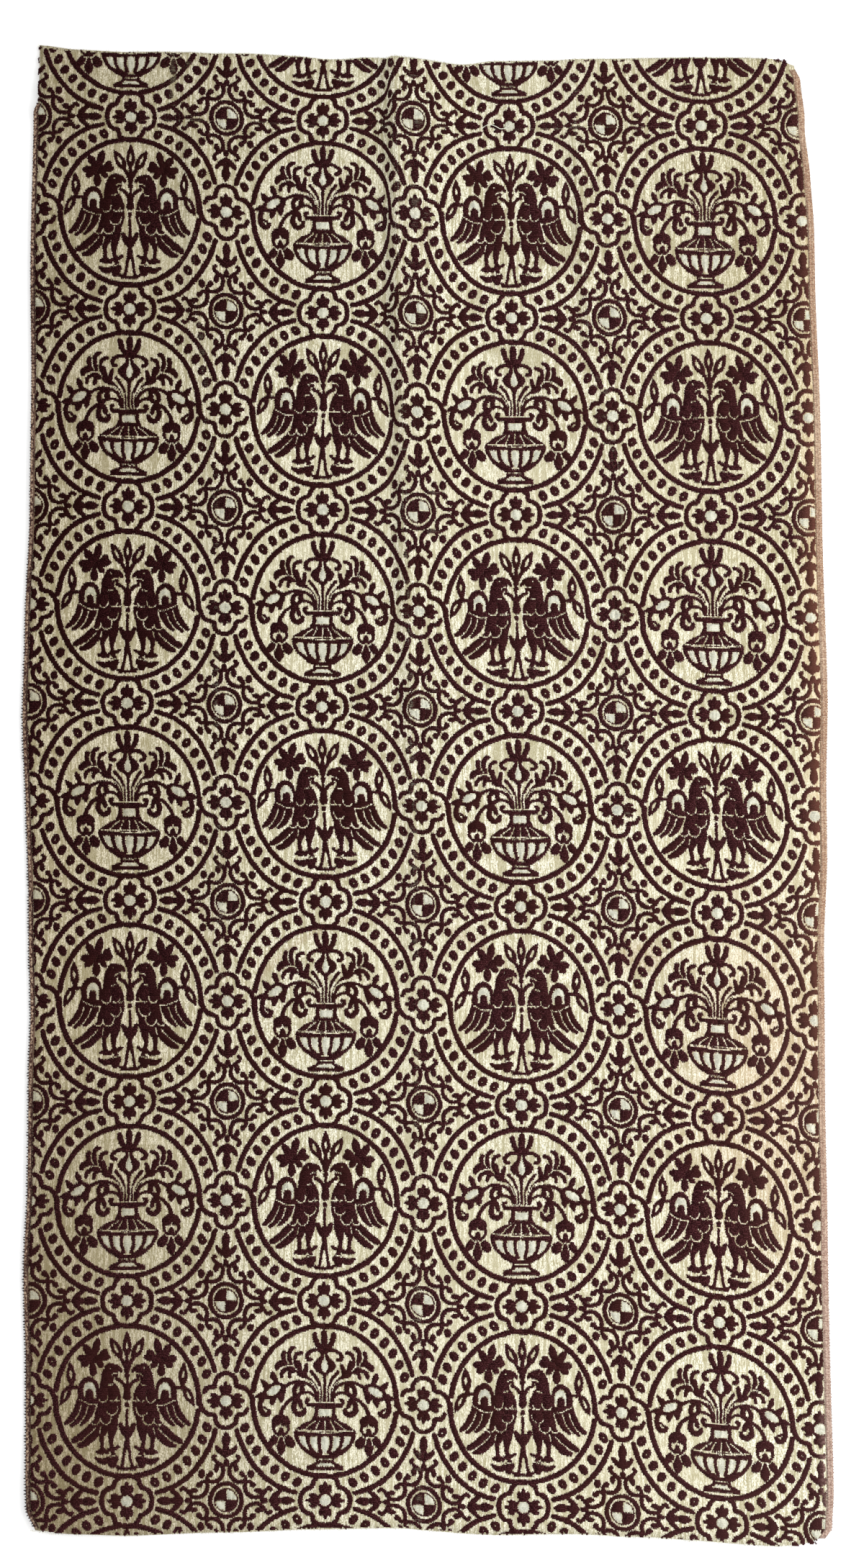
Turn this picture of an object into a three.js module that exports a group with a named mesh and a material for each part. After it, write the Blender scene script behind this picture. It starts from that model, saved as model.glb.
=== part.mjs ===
// Length of figured cloth with both of its selvedges and two cut ends, lying flat on a surface.
// Millimetres. +X runs across the cloth from the left selvedge to the right one, +Y runs up the
// cloth towards the end with the folds, +Z points away from the surface. The origin is in the
// middle of the outline, on the surface.
// A place on the flat cloth is given by "across", measured from the left selvedge, and "down",
// measured from the top cut end along the selvedge.

import * as THREE from 'three';
import { mergeVertices } from 'three/addons/utils/BufferGeometryUtils.js';

// Driving dimensions
const LOOM_WIDTH = 540;
const CUT_LENGTH = 1008;
const CLOTH_THICKNESS = 1.5;

// Cloth finish
const CLOTH_COLOUR = 0xb9ab8d;
const CLOTH_ROUGHNESS = 0.86;
const CLOTH_METALNESS = 0;

// Mesh steps
const WIDE_COLUMN = 15;
const CREASE_COLUMN = 4.5;
const CREASE_COLUMNS_FROM = 237;
const CREASE_COLUMNS_TO = 291;
const WIDE_ROW = 31;
const FOLD_ROW = 7;
const FOLD_ROWS_TO = 63;
const MEASURE_STEP = 2;
const STEEPEST = 0.94;

// Creases that run down the cloth. "crest" is how far across the top of the crease lies, "rise"
// is the width of its steep left side and "fall" the width of its soft right side.
const CREASES = [
  {
    name: 'main crease', rise: 14, fall: 58,
    run: [
      { down: 0, crest: 257, height: 8.6 },
      { down: 150, crest: 258, height: 7.8 },
      { down: 316, crest: 261, height: 5.0 },
      { down: 450, crest: 264, height: 3.0 },
      { down: 720, crest: 266, height: 1.4 },
      { down: 1020, crest: 267, height: 0.8 },
    ],
  },
  {
    name: 'left crease', rise: 12, fall: 36,
    run: [
      { down: 0, crest: 111, height: 1.4 },
      { down: 70, crest: 113, height: 3.2 },
      { down: 160, crest: 116, height: 2.6 },
      { down: 230, crest: 123, height: 0.8 },
      { down: 300, crest: 131, height: 1.6 },
      { down: 560, crest: 133, height: 1.3 },
      { down: 720, crest: 133, height: 0 },
    ],
  },
  {
    name: 'right crease', rise: 12, fall: 38,
    run: [
      { down: 0, crest: 381, height: 1.2 },
      { down: 80, crest: 383, height: 3.0 },
      { down: 190, crest: 387, height: 2.0 },
      { down: 235, crest: 396, height: 0.9 },
      { down: 300, crest: 406, height: 2.2 },
      { down: 430, crest: 408, height: 1.4 },
      { down: 640, crest: 408, height: 0 },
    ],
  },
];

// The soft fold that runs across the cloth, close under its top end
const TOP_FOLD = {
  rise: 38, fall: 15,
  run: [
    { across: 0, crest: 39, height: 2.2 },
    { across: 120, crest: 37, height: 3.4 },
    { across: 260, crest: 38, height: 2.6 },
    { across: 400, crest: 36, height: 3.6 },
    { across: 540, crest: 40, height: 2.6 },
  ],
};

// Places where the cloth stands a little off the surface
const SWELLS = [
  { name: 'left edge', across: 46, down: 770, reachAcross: 64, reachDown: 150, height: 2.6 },
  { name: 'left edge, high', across: 40, down: 300, reachAcross: 56, reachDown: 120, height: 1.8 },
  { name: 'right belly', across: 468, down: 640, reachAcross: 74, reachDown: 170, height: 3.2 },
  { name: 'right edge, high', across: 492, down: 250, reachAcross: 54, reachDown: 120, height: 2.2 },
  { name: 'bottom left corner', across: 40, down: 990, reachAcross: 70, reachDown: 60, height: 3.0 },
  { name: 'bottom middle', across: 350, down: 940, reachAcross: 90, reachDown: 80, height: 1.8 },
];

// How far the weft bows down the cloth, at four places across it
const BOW = [
  { down: 0, left: -2.0, inLeft: 1.2, inRight: 4.1, right: 4.9 },
  { down: 182, left: -3.0, inLeft: -0.2, inRight: 3.4, right: 5.0 },
  { down: 316, left: -1.6, inLeft: 1.6, inRight: 4.4, right: 6.6 },
  { down: 584, left: -0.9, inLeft: 0.8, inRight: 3.8, right: 10.5 },
  { down: 718, left: 0.9, inLeft: 1.2, inRight: 3.4, right: 16.0 },
  { down: 1020, left: -0.6, inLeft: -1.6, inRight: 4.0, right: 18.5 },
];
const BOW_PLACES = { left: 0, inLeft: 202, inRight: 334, right: 540 };

// How far the whole width lies to the right of its place at the top
const SWAY = [
  { down: 0, right: -1.0 },
  { down: 450, right: -1.4 },
  { down: 584, right: 1.4 },
  { down: 718, right: 2.2 },
  { down: 852, right: 1.0 },
  { down: 1020, right: 1.8 },
];

// How far the edges stand in from the full width and length. Below nought an edge bulges.
const LEFT_EDGE = [
  { down: -10, inset: 4.0 }, { down: 0, inset: 5.0 }, { down: 37, inset: 5.4 }, { down: 46, inset: 1.0 },
  { down: 150, inset: -0.5 }, { down: 240, inset: 1.0 }, { down: 320, inset: 2.4 }, { down: 400, inset: 0.5 },
  { down: 520, inset: 0 }, { down: 620, inset: -1.8 }, { down: 660, inset: 0.4 }, { down: 700, inset: -1.4 },
  { down: 780, inset: 0 }, { down: 830, inset: -1.4 }, { down: 900, inset: 1.2 }, { down: 968, inset: 1.6 },
  { down: 990, inset: 6.0 }, { down: 1006, inset: 15 }, { down: 1020, inset: 24 },
];
const RIGHT_EDGE = [
  { down: -10, inset: 16 }, { down: 6, inset: 8 }, { down: 16, inset: 4.4 }, { down: 46, inset: 3.0 },
  { down: 85, inset: 1.5 }, { down: 125, inset: 0 }, { down: 300, inset: 0.8 }, { down: 470, inset: -0.6 },
  { down: 590, inset: 0.4 }, { down: 740, inset: 1.0 }, { down: 860, inset: 0.8 }, { down: 960, inset: 0 },
  { down: 984, inset: 1.0 }, { down: 994, inset: 7 }, { down: 1004, inset: 19 }, { down: 1020, inset: 26 },
];
const TOP_EDGE = [
  { across: 0, inset: -4 }, { across: 30, inset: -1 }, { across: 62, inset: 2.6 }, { across: 90, inset: 0.6 },
  { across: 120, inset: 1.4 }, { across: 150, inset: 0 }, { across: 180, inset: 1.2 }, { across: 208, inset: 4 },
  { across: 238, inset: 1.6 }, { across: 268, inset: 4.8 }, { across: 300, inset: 7.4 }, { across: 328, inset: 2 },
  { across: 358, inset: 6.6 }, { across: 400, inset: 3.6 }, { across: 432, inset: 2 }, { across: 466, inset: -1 },
  { across: 500, inset: 0.4 }, { across: 526, inset: 3 }, { across: 540, inset: 9 },
];
const BOTTOM_EDGE = [
  { across: 0, inset: 3 }, { across: 30, inset: 0.4 }, { across: 70, inset: -1 }, { across: 130, inset: 0.4 },
  { across: 200, inset: 2.6 }, { across: 260, inset: 5 }, { across: 320, inset: 3.6 }, { across: 400, inset: 5.4 },
  { across: 466, inset: 5.8 }, { across: 510, inset: 6.4 }, { across: 526, inset: 9 }, { across: 540, inset: 18 },
];

function smooth(t) {
  const held = Math.min(1, Math.max(0, t));
  return held * held * (3 - 2 * held);
}

// Reads a column of a table at a place between two of its rows
function along(table, place, at, column, ease = false) {
  if (at <= table[0][place]) return table[0][column];
  for (let row = 1; row < table.length; row += 1) {
    const before = table[row - 1];
    const after = table[row];
    if (at <= after[place]) {
      const part = (at - before[place]) / (after[place] - before[place]);
      const blend = ease ? smooth(part) : part;
      return before[column] + (after[column] - before[column]) * blend;
    }
  }
  return table[table.length - 1][column];
}

// A lopsided ridge: "past" is how far a point lies beyond the crest
function ridge(past, rise, fall) {
  return past < 0 ? smooth(1 + past / rise) : smooth(1 - past / fall);
}

// Height of the cloth's underside above the surface
function lift(across, down) {
  let height = 0;
  for (const crease of CREASES) {
    const crest = along(crease.run, 'down', down, 'crest', true);
    const tall = along(crease.run, 'down', down, 'height', true);
    height += tall * ridge(across - crest, crease.rise, crease.fall);
  }
  const foldCrest = along(TOP_FOLD.run, 'across', across, 'crest', true);
  const foldTall = along(TOP_FOLD.run, 'across', across, 'height', true);
  height += foldTall * ridge(down - foldCrest, TOP_FOLD.rise, TOP_FOLD.fall);
  for (const swell of SWELLS) {
    const aside = (across - swell.across) / swell.reachAcross;
    const below = (down - swell.down) / swell.reachDown;
    height += swell.height * smooth(1 - Math.hypot(aside, below));
  }
  return height;
}

// Length on the surface that a stretch of cloth covers once the folds have taken up their share
function covered(from, to, heightAt) {
  const steps = Math.max(1, Math.round(Math.abs(to - from) / MEASURE_STEP));
  const step = (to - from) / steps;
  let length = 0;
  let last = heightAt(from);
  for (let k = 1; k <= steps; k += 1) {
    const next = heightAt(from + k * step);
    const slope = Math.min(STEEPEST, Math.abs(next - last) / Math.abs(step));
    length += step * Math.sqrt(1 - slope * slope);
    last = next;
  }
  return length;
}

function bow(across, down) {
  const row = Object.entries(BOW_PLACES).map(([name, place]) => (
    { across: place, drop: along(BOW, 'down', down, name, true) }
  ));
  return along(row, 'across', across, 'drop', true);
}

// Where a place on the flat cloth comes to lie
function lay(across, down) {
  const x = covered(0, across, (u) => lift(u, down)) - LOOM_WIDTH / 2;
  const y = CUT_LENGTH / 2 - covered(0, down, (v) => lift(across, v)) - bow(across, down);
  return new THREE.Vector3(x + along(SWAY, 'down', down, 'right', true), y, lift(across, down));
}

function columnPlaces() {
  const places = [];
  const leftSteps = Math.round(CREASE_COLUMNS_FROM / WIDE_COLUMN);
  for (let k = 0; k < leftSteps; k += 1) places.push((k * CREASE_COLUMNS_FROM) / leftSteps);
  const creaseSteps = Math.round((CREASE_COLUMNS_TO - CREASE_COLUMNS_FROM) / CREASE_COLUMN);
  for (let k = 0; k < creaseSteps; k += 1) places.push(CREASE_COLUMNS_FROM + k * CREASE_COLUMN);
  const rest = LOOM_WIDTH - CREASE_COLUMNS_TO;
  const rightSteps = Math.round(rest / WIDE_COLUMN);
  for (let k = 0; k <= rightSteps; k += 1) places.push(CREASE_COLUMNS_TO + (k * rest) / rightSteps);
  return places;
}

function rowPlaces() {
  const places = [];
  for (let down = 0; down < FOLD_ROWS_TO; down += FOLD_ROW) places.push(down);
  const rest = CUT_LENGTH - FOLD_ROWS_TO;
  const steps = Math.round(rest / WIDE_ROW);
  for (let k = 0; k <= steps; k += 1) places.push(FOLD_ROWS_TO + (k * rest) / steps);
  return places;
}

// Flat places of the grid, drawn in to the uneven outline
function gridPlace(across, down) {
  const top = along(TOP_EDGE, 'across', across, 'inset', true);
  const bottom = CUT_LENGTH - along(BOTTOM_EDGE, 'across', across, 'inset', true);
  const placedDown = top + ((bottom - top) * down) / CUT_LENGTH;
  const left = along(LEFT_EDGE, 'down', placedDown, 'inset', true);
  const right = LOOM_WIDTH - along(RIGHT_EDGE, 'down', placedDown, 'inset', true);
  return { across: left + ((right - left) * across) / LOOM_WIDTH, down: placedDown };
}

// Cloth at a place, with the direction square to it
function clothPoint(across, down) {
  const reach = 1.5;
  const point = lay(across, down);
  const alongWeft = lay(across + reach, down).sub(lay(across - reach, down));
  const alongWarp = lay(across, down - reach).sub(lay(across, down + reach));
  const square = alongWeft.cross(alongWarp).normalize();
  return { point, square };
}

function panelGeometry() {
  const columns = columnPlaces();
  const rows = rowPlaces();
  const under = [];
  const upper = [];
  for (const down of rows) {
    for (const across of columns) {
      const place = gridPlace(across, down);
      const { point, square } = clothPoint(place.across, place.down);
      under.push(point);
      upper.push(point.clone().addScaledVector(square, CLOTH_THICKNESS));
    }
  }
  const positions = [];
  const face = (a, b, c) => positions.push(a.x, a.y, a.z, b.x, b.y, b.z, c.x, c.y, c.z);
  const at = (row, column) => row * columns.length + column;
  const lastRow = rows.length - 1;
  const lastColumn = columns.length - 1;
  for (let row = 0; row < lastRow; row += 1) {
    for (let column = 0; column < lastColumn; column += 1) {
      const a = at(row, column);
      const b = at(row, column + 1);
      const c = at(row + 1, column + 1);
      const d = at(row + 1, column);
      face(upper[a], upper[d], upper[c]);
      face(upper[a], upper[c], upper[b]);
      face(under[a], under[c], under[d]);
      face(under[a], under[b], under[c]);
    }
  }
  const wall = (a, b) => {
    face(under[a], upper[b], upper[a]);
    face(under[a], under[b], upper[b]);
  };
  for (let row = 0; row < lastRow; row += 1) {
    wall(at(row, 0), at(row + 1, 0));
    wall(at(row + 1, lastColumn), at(row, lastColumn));
  }
  for (let column = 0; column < lastColumn; column += 1) {
    wall(at(lastRow, column), at(lastRow, column + 1));
    wall(at(0, column + 1), at(0, column));
  }
  const geometry = new THREE.BufferGeometry();
  geometry.setAttribute('position', new THREE.Float32BufferAttribute(positions, 3));
  return geometry;
}

// Sets the middle of the outline over the origin
function centred(geometry) {
  geometry.computeBoundingBox();
  const box = geometry.boundingBox;
  geometry.translate(-(box.min.x + box.max.x) / 2, -(box.min.y + box.max.y) / 2, -box.min.z);
  const merged = mergeVertices(geometry);
  merged.computeVertexNormals();
  return merged;
}

const clothMaterial = new THREE.MeshStandardMaterial({
  color: CLOTH_COLOUR,
  roughness: CLOTH_ROUGHNESS,
  metalness: CLOTH_METALNESS,
  flatShading: true,
});
const panel = new THREE.Mesh(centred(panelGeometry()), clothMaterial);
panel.name = 'panel';

const cloth = new THREE.Group();
cloth.add(panel);

export default cloth;
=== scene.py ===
"""Loom-width length of figured cloth: pale ground, raised dark roundels, selvedges and cut ends.

Everything is in metres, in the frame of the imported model. A place on the flat cloth is given by
"across", from the left selvedge, and "down", from the top cut end. The small tables of the cloth's
creases, edges and pattern are in millimetres and are brought to metres where they are used.
"""

import math

import bpy
import numpy as np
from bpy.props import FloatProperty, FloatVectorProperty, IntProperty, PointerProperty
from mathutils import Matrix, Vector


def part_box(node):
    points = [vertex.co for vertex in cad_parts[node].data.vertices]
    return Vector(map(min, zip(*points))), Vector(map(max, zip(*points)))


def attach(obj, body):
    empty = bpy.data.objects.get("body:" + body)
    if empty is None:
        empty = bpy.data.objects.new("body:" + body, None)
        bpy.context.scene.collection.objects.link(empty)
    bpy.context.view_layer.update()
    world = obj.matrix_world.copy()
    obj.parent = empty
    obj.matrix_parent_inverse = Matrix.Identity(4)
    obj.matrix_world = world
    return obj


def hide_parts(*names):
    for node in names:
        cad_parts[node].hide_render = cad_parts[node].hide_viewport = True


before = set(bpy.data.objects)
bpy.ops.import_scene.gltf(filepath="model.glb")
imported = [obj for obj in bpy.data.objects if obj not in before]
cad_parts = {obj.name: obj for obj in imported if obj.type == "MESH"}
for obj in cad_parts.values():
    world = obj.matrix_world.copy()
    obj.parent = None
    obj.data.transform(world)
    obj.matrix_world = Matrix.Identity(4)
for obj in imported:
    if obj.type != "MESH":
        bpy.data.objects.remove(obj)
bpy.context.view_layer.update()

bl_info = {
    "name": "Figured cloth panel",
    "version": (1, 0, 0),
    "blender": (4, 5, 0),
    "location": "View3D > Sidebar > Cloth",
    "description": "Builds a length of figured cloth with a raised pattern of roundels",
    "category": "Add Mesh",
}

MM = 0.001
CLOTH_UV = "cloth"
CROWN = "crown"

# Flat size of the cloth and its thickness, in millimetres
LOOM_WIDTH = 540.0
CUT_LENGTH = 1008.0
CLOTH_THICKNESS = 1.5
STEEPEST = 0.94

# Creases down the cloth: rise and fall are the widths of the steep and the soft side of a crease,
# and the rows of its run are down, place of the crest across, height
CREASES = (
    {"rise": 14, "fall": 58, "run": (
        (0, 257, 8.6), (150, 258, 7.8), (316, 261, 5.0), (450, 264, 3.0), (720, 266, 1.4), (1020, 267, 0.8))},
    {"rise": 12, "fall": 36, "run": (
        (0, 111, 1.4), (70, 113, 3.2), (160, 116, 2.6), (230, 123, 0.8), (300, 131, 1.6), (560, 133, 1.3),
        (720, 133, 0))},
    {"rise": 12, "fall": 38, "run": (
        (0, 381, 1.2), (80, 383, 3.0), (190, 387, 2.0), (235, 396, 0.9), (300, 406, 2.2), (430, 408, 1.4),
        (640, 408, 0))},
)

# The fold across the cloth: across, place of the crest down, height
TOP_FOLD = {"rise": 38, "fall": 15, "run": (
    (0, 39, 2.2), (120, 37, 3.4), (260, 38, 2.6), (400, 36, 3.6), (540, 40, 2.6))}

# Low swells: across, down, reach across, reach down, height
SWELLS = (
    (46, 770, 64, 150, 2.6),
    (40, 300, 56, 120, 1.8),
    (468, 640, 74, 170, 3.2),
    (492, 250, 54, 120, 2.2),
    (40, 990, 70, 60, 3.0),
    (350, 940, 90, 80, 1.8),
)

# How far the weft bows down the cloth: down, then the drop at the four places across
BOW_PLACES = (0, 202, 334, 540)
BOW = (
    (0, -0.4, 3.6, 7.0, 6.6),
    (110, -3.8, 0.0, 3.9, 4.5),
    (190, -2.4, 1.0, 5.2, 6.0),
    (275, -1.4, 2.0, 5.4, 6.8),
    (357, 0.0, 4.0, 7.0, 9.2),
    (440, -0.4, 3.0, 6.6, 10.1),
    (560, -0.6, 1.4, 4.8, 10.6),
    (690, 1.6, 1.8, 4.6, 15.9),
    (770, 0.8, 0.9, 3.8, 17.4),
    (853, 0.1, 1.0, 4.9, 19.4),
    (1020, -1.0, -1.4, 3.6, 18.4),
)

# How far the right edge is pulled out, which fades towards the left one: down, pull
PULL = (
    (0, -0.8), (110, 2.8), (350, 3.7), (440, 4.4), (540, 2.8), (610, 0.2), (700, 0), (790, 1.4), (900, 2.2),
    (1008, 2.6),
)

# How far the whole width lies to the right: down, shift
SWAY = ((0, -1.0), (450, -1.4), (584, 1.4), (718, 2.2), (852, 1.0), (1020, 1.8))

# How far the edges stand in from the full width and length: place along the edge, inset
LEFT_EDGE = (
    (-10, 5.0), (0, 6.0), (37, 6.4), (46, 2.6), (150, 1.2), (240, 2.6), (320, 2.4), (400, -0.4), (460, -1.6),
    (520, -0.4), (600, 0.8), (660, 2.0), (700, 0.8), (780, 1.2), (830, -0.4), (900, 1.4), (968, 1.4),
    (990, 2.0), (1006, 8), (1020, 16),
)
RIGHT_EDGE = (
    (-10, 16), (6, 8), (16, 4.4), (46, 2.6), (85, 0.4), (125, -1.0), (300, -1.4), (440, -2.4), (500, -1.2),
    (590, 0.2), (740, 1.0), (860, 0.0), (960, -1.0), (984, 0.4), (994, 6), (1004, 17), (1020, 24),
)
TOP_EDGE = (
    (0, -2.5), (30, 0.5), (62, 1.4), (90, 0.4), (120, 1.0), (150, 0), (180, 1.2), (208, 3.6), (238, 1.6),
    (268, 4.0), (300, 5.0), (328, 1.4), (358, 1.0), (400, 0.2), (432, -0.6), (466, -1), (500, -0.8),
    (526, 0), (540, 5),
)
BOTTOM_EDGE = (
    (0, 3), (30, 0.4), (70, -1), (130, 0.4), (200, 2.6), (260, 5), (320, 3.6), (400, 5.8), (440, 8),
    (466, 9), (510, 9.8), (526, 12), (540, 19),
)

# Pattern repeat and the middle of the first roundel, in millimetres
REPEAT_ACROSS = 132.0
REPEAT_DOWN = 134.0
FIRST_ROUNDEL = (70.0, 115.0)
CHART_POINTS = 480
CHART_MARGIN = 1.0
CHART_FAR = 3.0

# Heights over the underside of the cloth, in millimetres
GROUND_TOP = 1.1
FIGURE_TOP = 1.6
FIGURE_FOOT = 0.95
SILVER_TOP = 1.3
SILVER_FOOT = 0.95

# Weave, in millimetres: distance between wefts and between warp ends, how deep the teeth are along
# an edge of the figure, how far the yarn swells over the drawn edge, half the width of a weft, and
# how far a weft runs on before it is held down
PICK = 0.80
WARP = 1.06
TEETH = 0.34
SWELL = 0.24
HALF_WEFT = 0.56
LONGEST_FLOAT = 14.0
FIGURE_BANDS = 8

# Selvedges, in millimetres
LEFT_SELVEDGE = 4.0
LEFT_SELVEDGE_FROM = 40.0
RIGHT_SELVEDGE = 5.4
EDGE_LOOPS = 1.2
LEFT_CORD = (3.1, 3.9)
SELVEDGE_TOP = 1.4
CORD_TOP = 1.55
STRIP_STARTS = 0.9


# Sizes, colours and light that a user may change

class ClothSizes(bpy.types.PropertyGroup):
    """Sizes of the cloth and of what stands on it"""

    ground_thickness: FloatProperty(
        name="Ground thickness", description="Thickness of the pale ground cloth",
        default=GROUND_TOP * MM, unit="LENGTH")
    figure_height: FloatProperty(
        name="Figure height", description="Top of the dark figure above the cloth's underside",
        default=FIGURE_TOP * MM, unit="LENGTH")
    loop_spacing: FloatProperty(
        name="Loop spacing", description="Distance between the weft loops along a selvedge",
        default=2.0 * MM, unit="LENGTH")
    loop_reach: FloatProperty(
        name="Loop reach", description="How far a weft loop stands out from the selvedge",
        default=1.9 * MM, unit="LENGTH")
    loop_yarn: FloatProperty(
        name="Loop yarn", description="Radius of the yarn in a weft loop", default=0.38 * MM, unit="LENGTH")
    fray_spacing: FloatProperty(
        name="Fray spacing", description="Distance between loose warp ends along a cut end",
        default=1.1 * MM, unit="LENGTH")
    fray_length: FloatProperty(
        name="Fray length", description="Length of a loose warp end", default=1.6 * MM, unit="LENGTH")
    seed: IntProperty(name="Seed", description="Chooses the small irregularities", default=7)


class ClothColours(bpy.types.PropertyGroup):
    """Base colours of the yarns"""

    ground: FloatVectorProperty(
        name="Ground", description="Pale ground yarn", subtype="COLOR", size=3, default=(0.72, 0.690, 0.560))
    straw: FloatVectorProperty(
        name="Straw", description="Darker warp streaks of the ground", subtype="COLOR", size=3,
        default=(0.385, 0.345, 0.210))
    figure: FloatVectorProperty(
        name="Figure", description="Dark maroon yarn of the figure", subtype="COLOR", size=3,
        default=(0.0062, 0.0006, 0.0008))
    silver: FloatVectorProperty(
        name="Silver", description="Silver grey yarn of the small patches", subtype="COLOR", size=3,
        default=(0.59, 0.595, 0.50))
    left_selvedge: FloatVectorProperty(
        name="Left selvedge", description="Brown yarn of the left selvedge", subtype="COLOR", size=3,
        default=(0.115, 0.058, 0.042))
    right_selvedge: FloatVectorProperty(
        name="Right selvedge", description="Tan yarn of the right selvedge", subtype="COLOR", size=3,
        default=(0.39, 0.240, 0.150))


class StageLook(bpy.types.PropertyGroup):
    """Camera and light"""

    camera_height: FloatProperty(
        name="Camera height", description="Height of the camera over the cloth", default=1.283, unit="LENGTH")
    camera_lean: FloatProperty(
        name="Camera lean", description="How far the camera looks up the cloth", default=math.radians(2.0),
        subtype="ANGLE")
    view_angle: FloatProperty(
        name="View angle", description="Angle of view over the long side", default=math.radians(45.0),
        subtype="ANGLE")
    key_power: FloatProperty(
        name="Window light", description="Power of the large soft light", default=10.0, subtype="POWER")
    sky: FloatProperty(name="Room light", description="Strength of the light from all round", default=1.05)


# Cloth surface

def smooth(t):
    held = np.clip(t, 0.0, 1.0)
    return held * held * (3.0 - 2.0 * held)


def along(table, at, column=1):
    """Reads a column of a table at a place between two of its rows, eased at each row."""
    rows = np.array(table, float)
    places = rows[:, 0]
    values = rows[:, column]
    held = np.clip(at, places[0], places[-1])
    after = np.clip(np.searchsorted(places, held, side="left"), 1, len(places) - 1)
    before = after - 1
    part = smooth((held - places[before]) / (places[after] - places[before]))
    return values[before] + (values[after] - values[before]) * part


def ridge(past, rise, fall):
    return np.where(past < 0, smooth(1.0 + past / rise), smooth(1.0 - past / fall))


def lift(across, down):
    """Height of the cloth's underside over the surface that it lies on."""
    height = np.zeros(np.broadcast(across, down).shape)
    for crease in CREASES:
        crest = along(crease["run"], down, 1)
        tall = along(crease["run"], down, 2)
        height = height + tall * ridge(across - crest, crease["rise"], crease["fall"])
    crest = along(TOP_FOLD["run"], across, 1)
    tall = along(TOP_FOLD["run"], across, 2)
    height = height + tall * ridge(down - crest, TOP_FOLD["rise"], TOP_FOLD["fall"])
    for middle, below, reach_across, reach_down, tall in SWELLS:
        away = np.hypot((across - middle) / reach_across, (down - below) / reach_down)
        height = height + tall * smooth(1.0 - away)
    return height


def bow(across, down):
    drops = [along(BOW, down, column) for column in (1, 2, 3, 4)]
    result = np.zeros(np.broadcast(across, down).shape)
    for k in range(3):
        start, end = BOW_PLACES[k], BOW_PLACES[k + 1]
        part = smooth((across - start) / (end - start))
        here = drops[k] + (drops[k + 1] - drops[k]) * part
        inside = (across >= start) if k else (across >= -1e9)
        result = np.where(inside, here, result)
    return result


class LaidCloth:
    """Where each place on the flat cloth comes to lie, kept on a fine grid."""

    STEP = 1.0
    SPARE = 14.0

    def __init__(self):
        self.across = np.arange(-self.SPARE, LOOM_WIDTH + self.SPARE + self.STEP, self.STEP)
        self.down = np.arange(-self.SPARE, CUT_LENGTH + self.SPARE + self.STEP, self.STEP)
        across = self.across[None, :]
        down = self.down[:, None]
        height = lift(across, down)
        covered_across = self.covered(height, 1, np.argmin(np.abs(self.across)))
        covered_down = self.covered(height, 0, np.argmin(np.abs(self.down)))
        curved = np.abs(np.gradient(np.gradient(height, axis=1), axis=1))
        self.curved = np.max([np.roll(curved, k, axis=1) for k in range(-8, 9, 2)], axis=0)
        pulled = along(PULL, down) * (across / LOOM_WIDTH) ** 2
        x = covered_across - LOOM_WIDTH / 2 + along(SWAY, down) + pulled
        y = CUT_LENGTH / 2 - covered_down - bow(across, down)
        self.points = np.stack([x, y, height], axis=-1)
        self.shift = np.zeros(3)
        along_weft = np.gradient(self.points, axis=1)
        along_warp = -np.gradient(self.points, axis=0)
        square = np.cross(along_weft, along_warp)
        self.squares = square / np.linalg.norm(square, axis=-1, keepdims=True)
        self.centre()

    def covered(self, height, axis, start):
        """Length on the surface once the folds have taken up their share of the cloth."""
        slope = np.minimum(np.abs(np.diff(height, axis=axis)) / self.STEP, STEEPEST)
        step = self.STEP * np.sqrt(1.0 - slope * slope)
        first = np.zeros_like(np.take(step, [0], axis=axis))
        length = np.cumsum(np.concatenate([first, step], axis=axis), axis=axis)
        return length - np.take(length, [start], axis=axis)

    def centre(self):
        """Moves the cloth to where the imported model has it."""
        rows = np.linspace(0, CUT_LENGTH, 400)
        columns = np.linspace(0, LOOM_WIDTH, 300)
        sides = [edge_place(np.array([end]), rows) for end in (0.0, LOOM_WIDTH)]
        ends = [edge_place(columns, np.array([end])) for end in (0.0, CUT_LENGTH)]
        outline = np.concatenate([self.at(*place, CLOTH_THICKNESS) for place in sides + ends])
        low, high = [np.array(corner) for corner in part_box("panel")]
        middle = (low + high) / 2 / MM
        shift = middle - (outline.min(axis=0) + outline.max(axis=0)) / 2
        shift[2] = low[2] / MM
        self.points = self.points + shift
        self.shift = shift

    def bend(self, across, down):
        """How sharply the surface curves across the cloth, for each millimetre."""
        column = np.clip(across - self.across[0], 0, len(self.across) - 1).astype(int)
        row = np.clip(down - self.down[0], 0, len(self.down) - 1).astype(int)
        return self.curved[row, column]

    def at(self, across, down, height=0.0):
        """Points in millimetres at a height over the underside."""
        across, down = np.broadcast_arrays(across, down)
        column = np.clip((across - self.across[0]) / self.STEP, 0, len(self.across) - 1.001)
        row = np.clip((down - self.down[0]) / self.STEP, 0, len(self.down) - 1.001)
        i, j = row.astype(int), column.astype(int)
        fy, fx = (row - i)[..., None], (column - j)[..., None]

        def read(grid):
            upper = grid[i, j] * (1 - fx) + grid[i, j + 1] * fx
            lower = grid[i + 1, j] * (1 - fx) + grid[i + 1, j + 1] * fx
            return upper * (1 - fy) + lower * fy

        square = read(self.squares)
        square = square / np.linalg.norm(square, axis=-1, keepdims=True)
        return read(self.points) + square * np.asarray(height)[..., None]


def edge_place(across, down):
    """Places of the full width and length, drawn in to the cloth's uneven outline."""
    across, down = np.broadcast_arrays(across, down)
    top = along(TOP_EDGE, across)
    bottom = CUT_LENGTH - along(BOTTOM_EDGE, across)
    placed_down = top + (bottom - top) * down / CUT_LENGTH
    left = along(LEFT_EDGE, placed_down)
    right = LOOM_WIDTH - along(RIGHT_EDGE, placed_down)
    return left + (right - left) * across / LOOM_WIDTH, placed_down


# Drawing of the pattern

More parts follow.
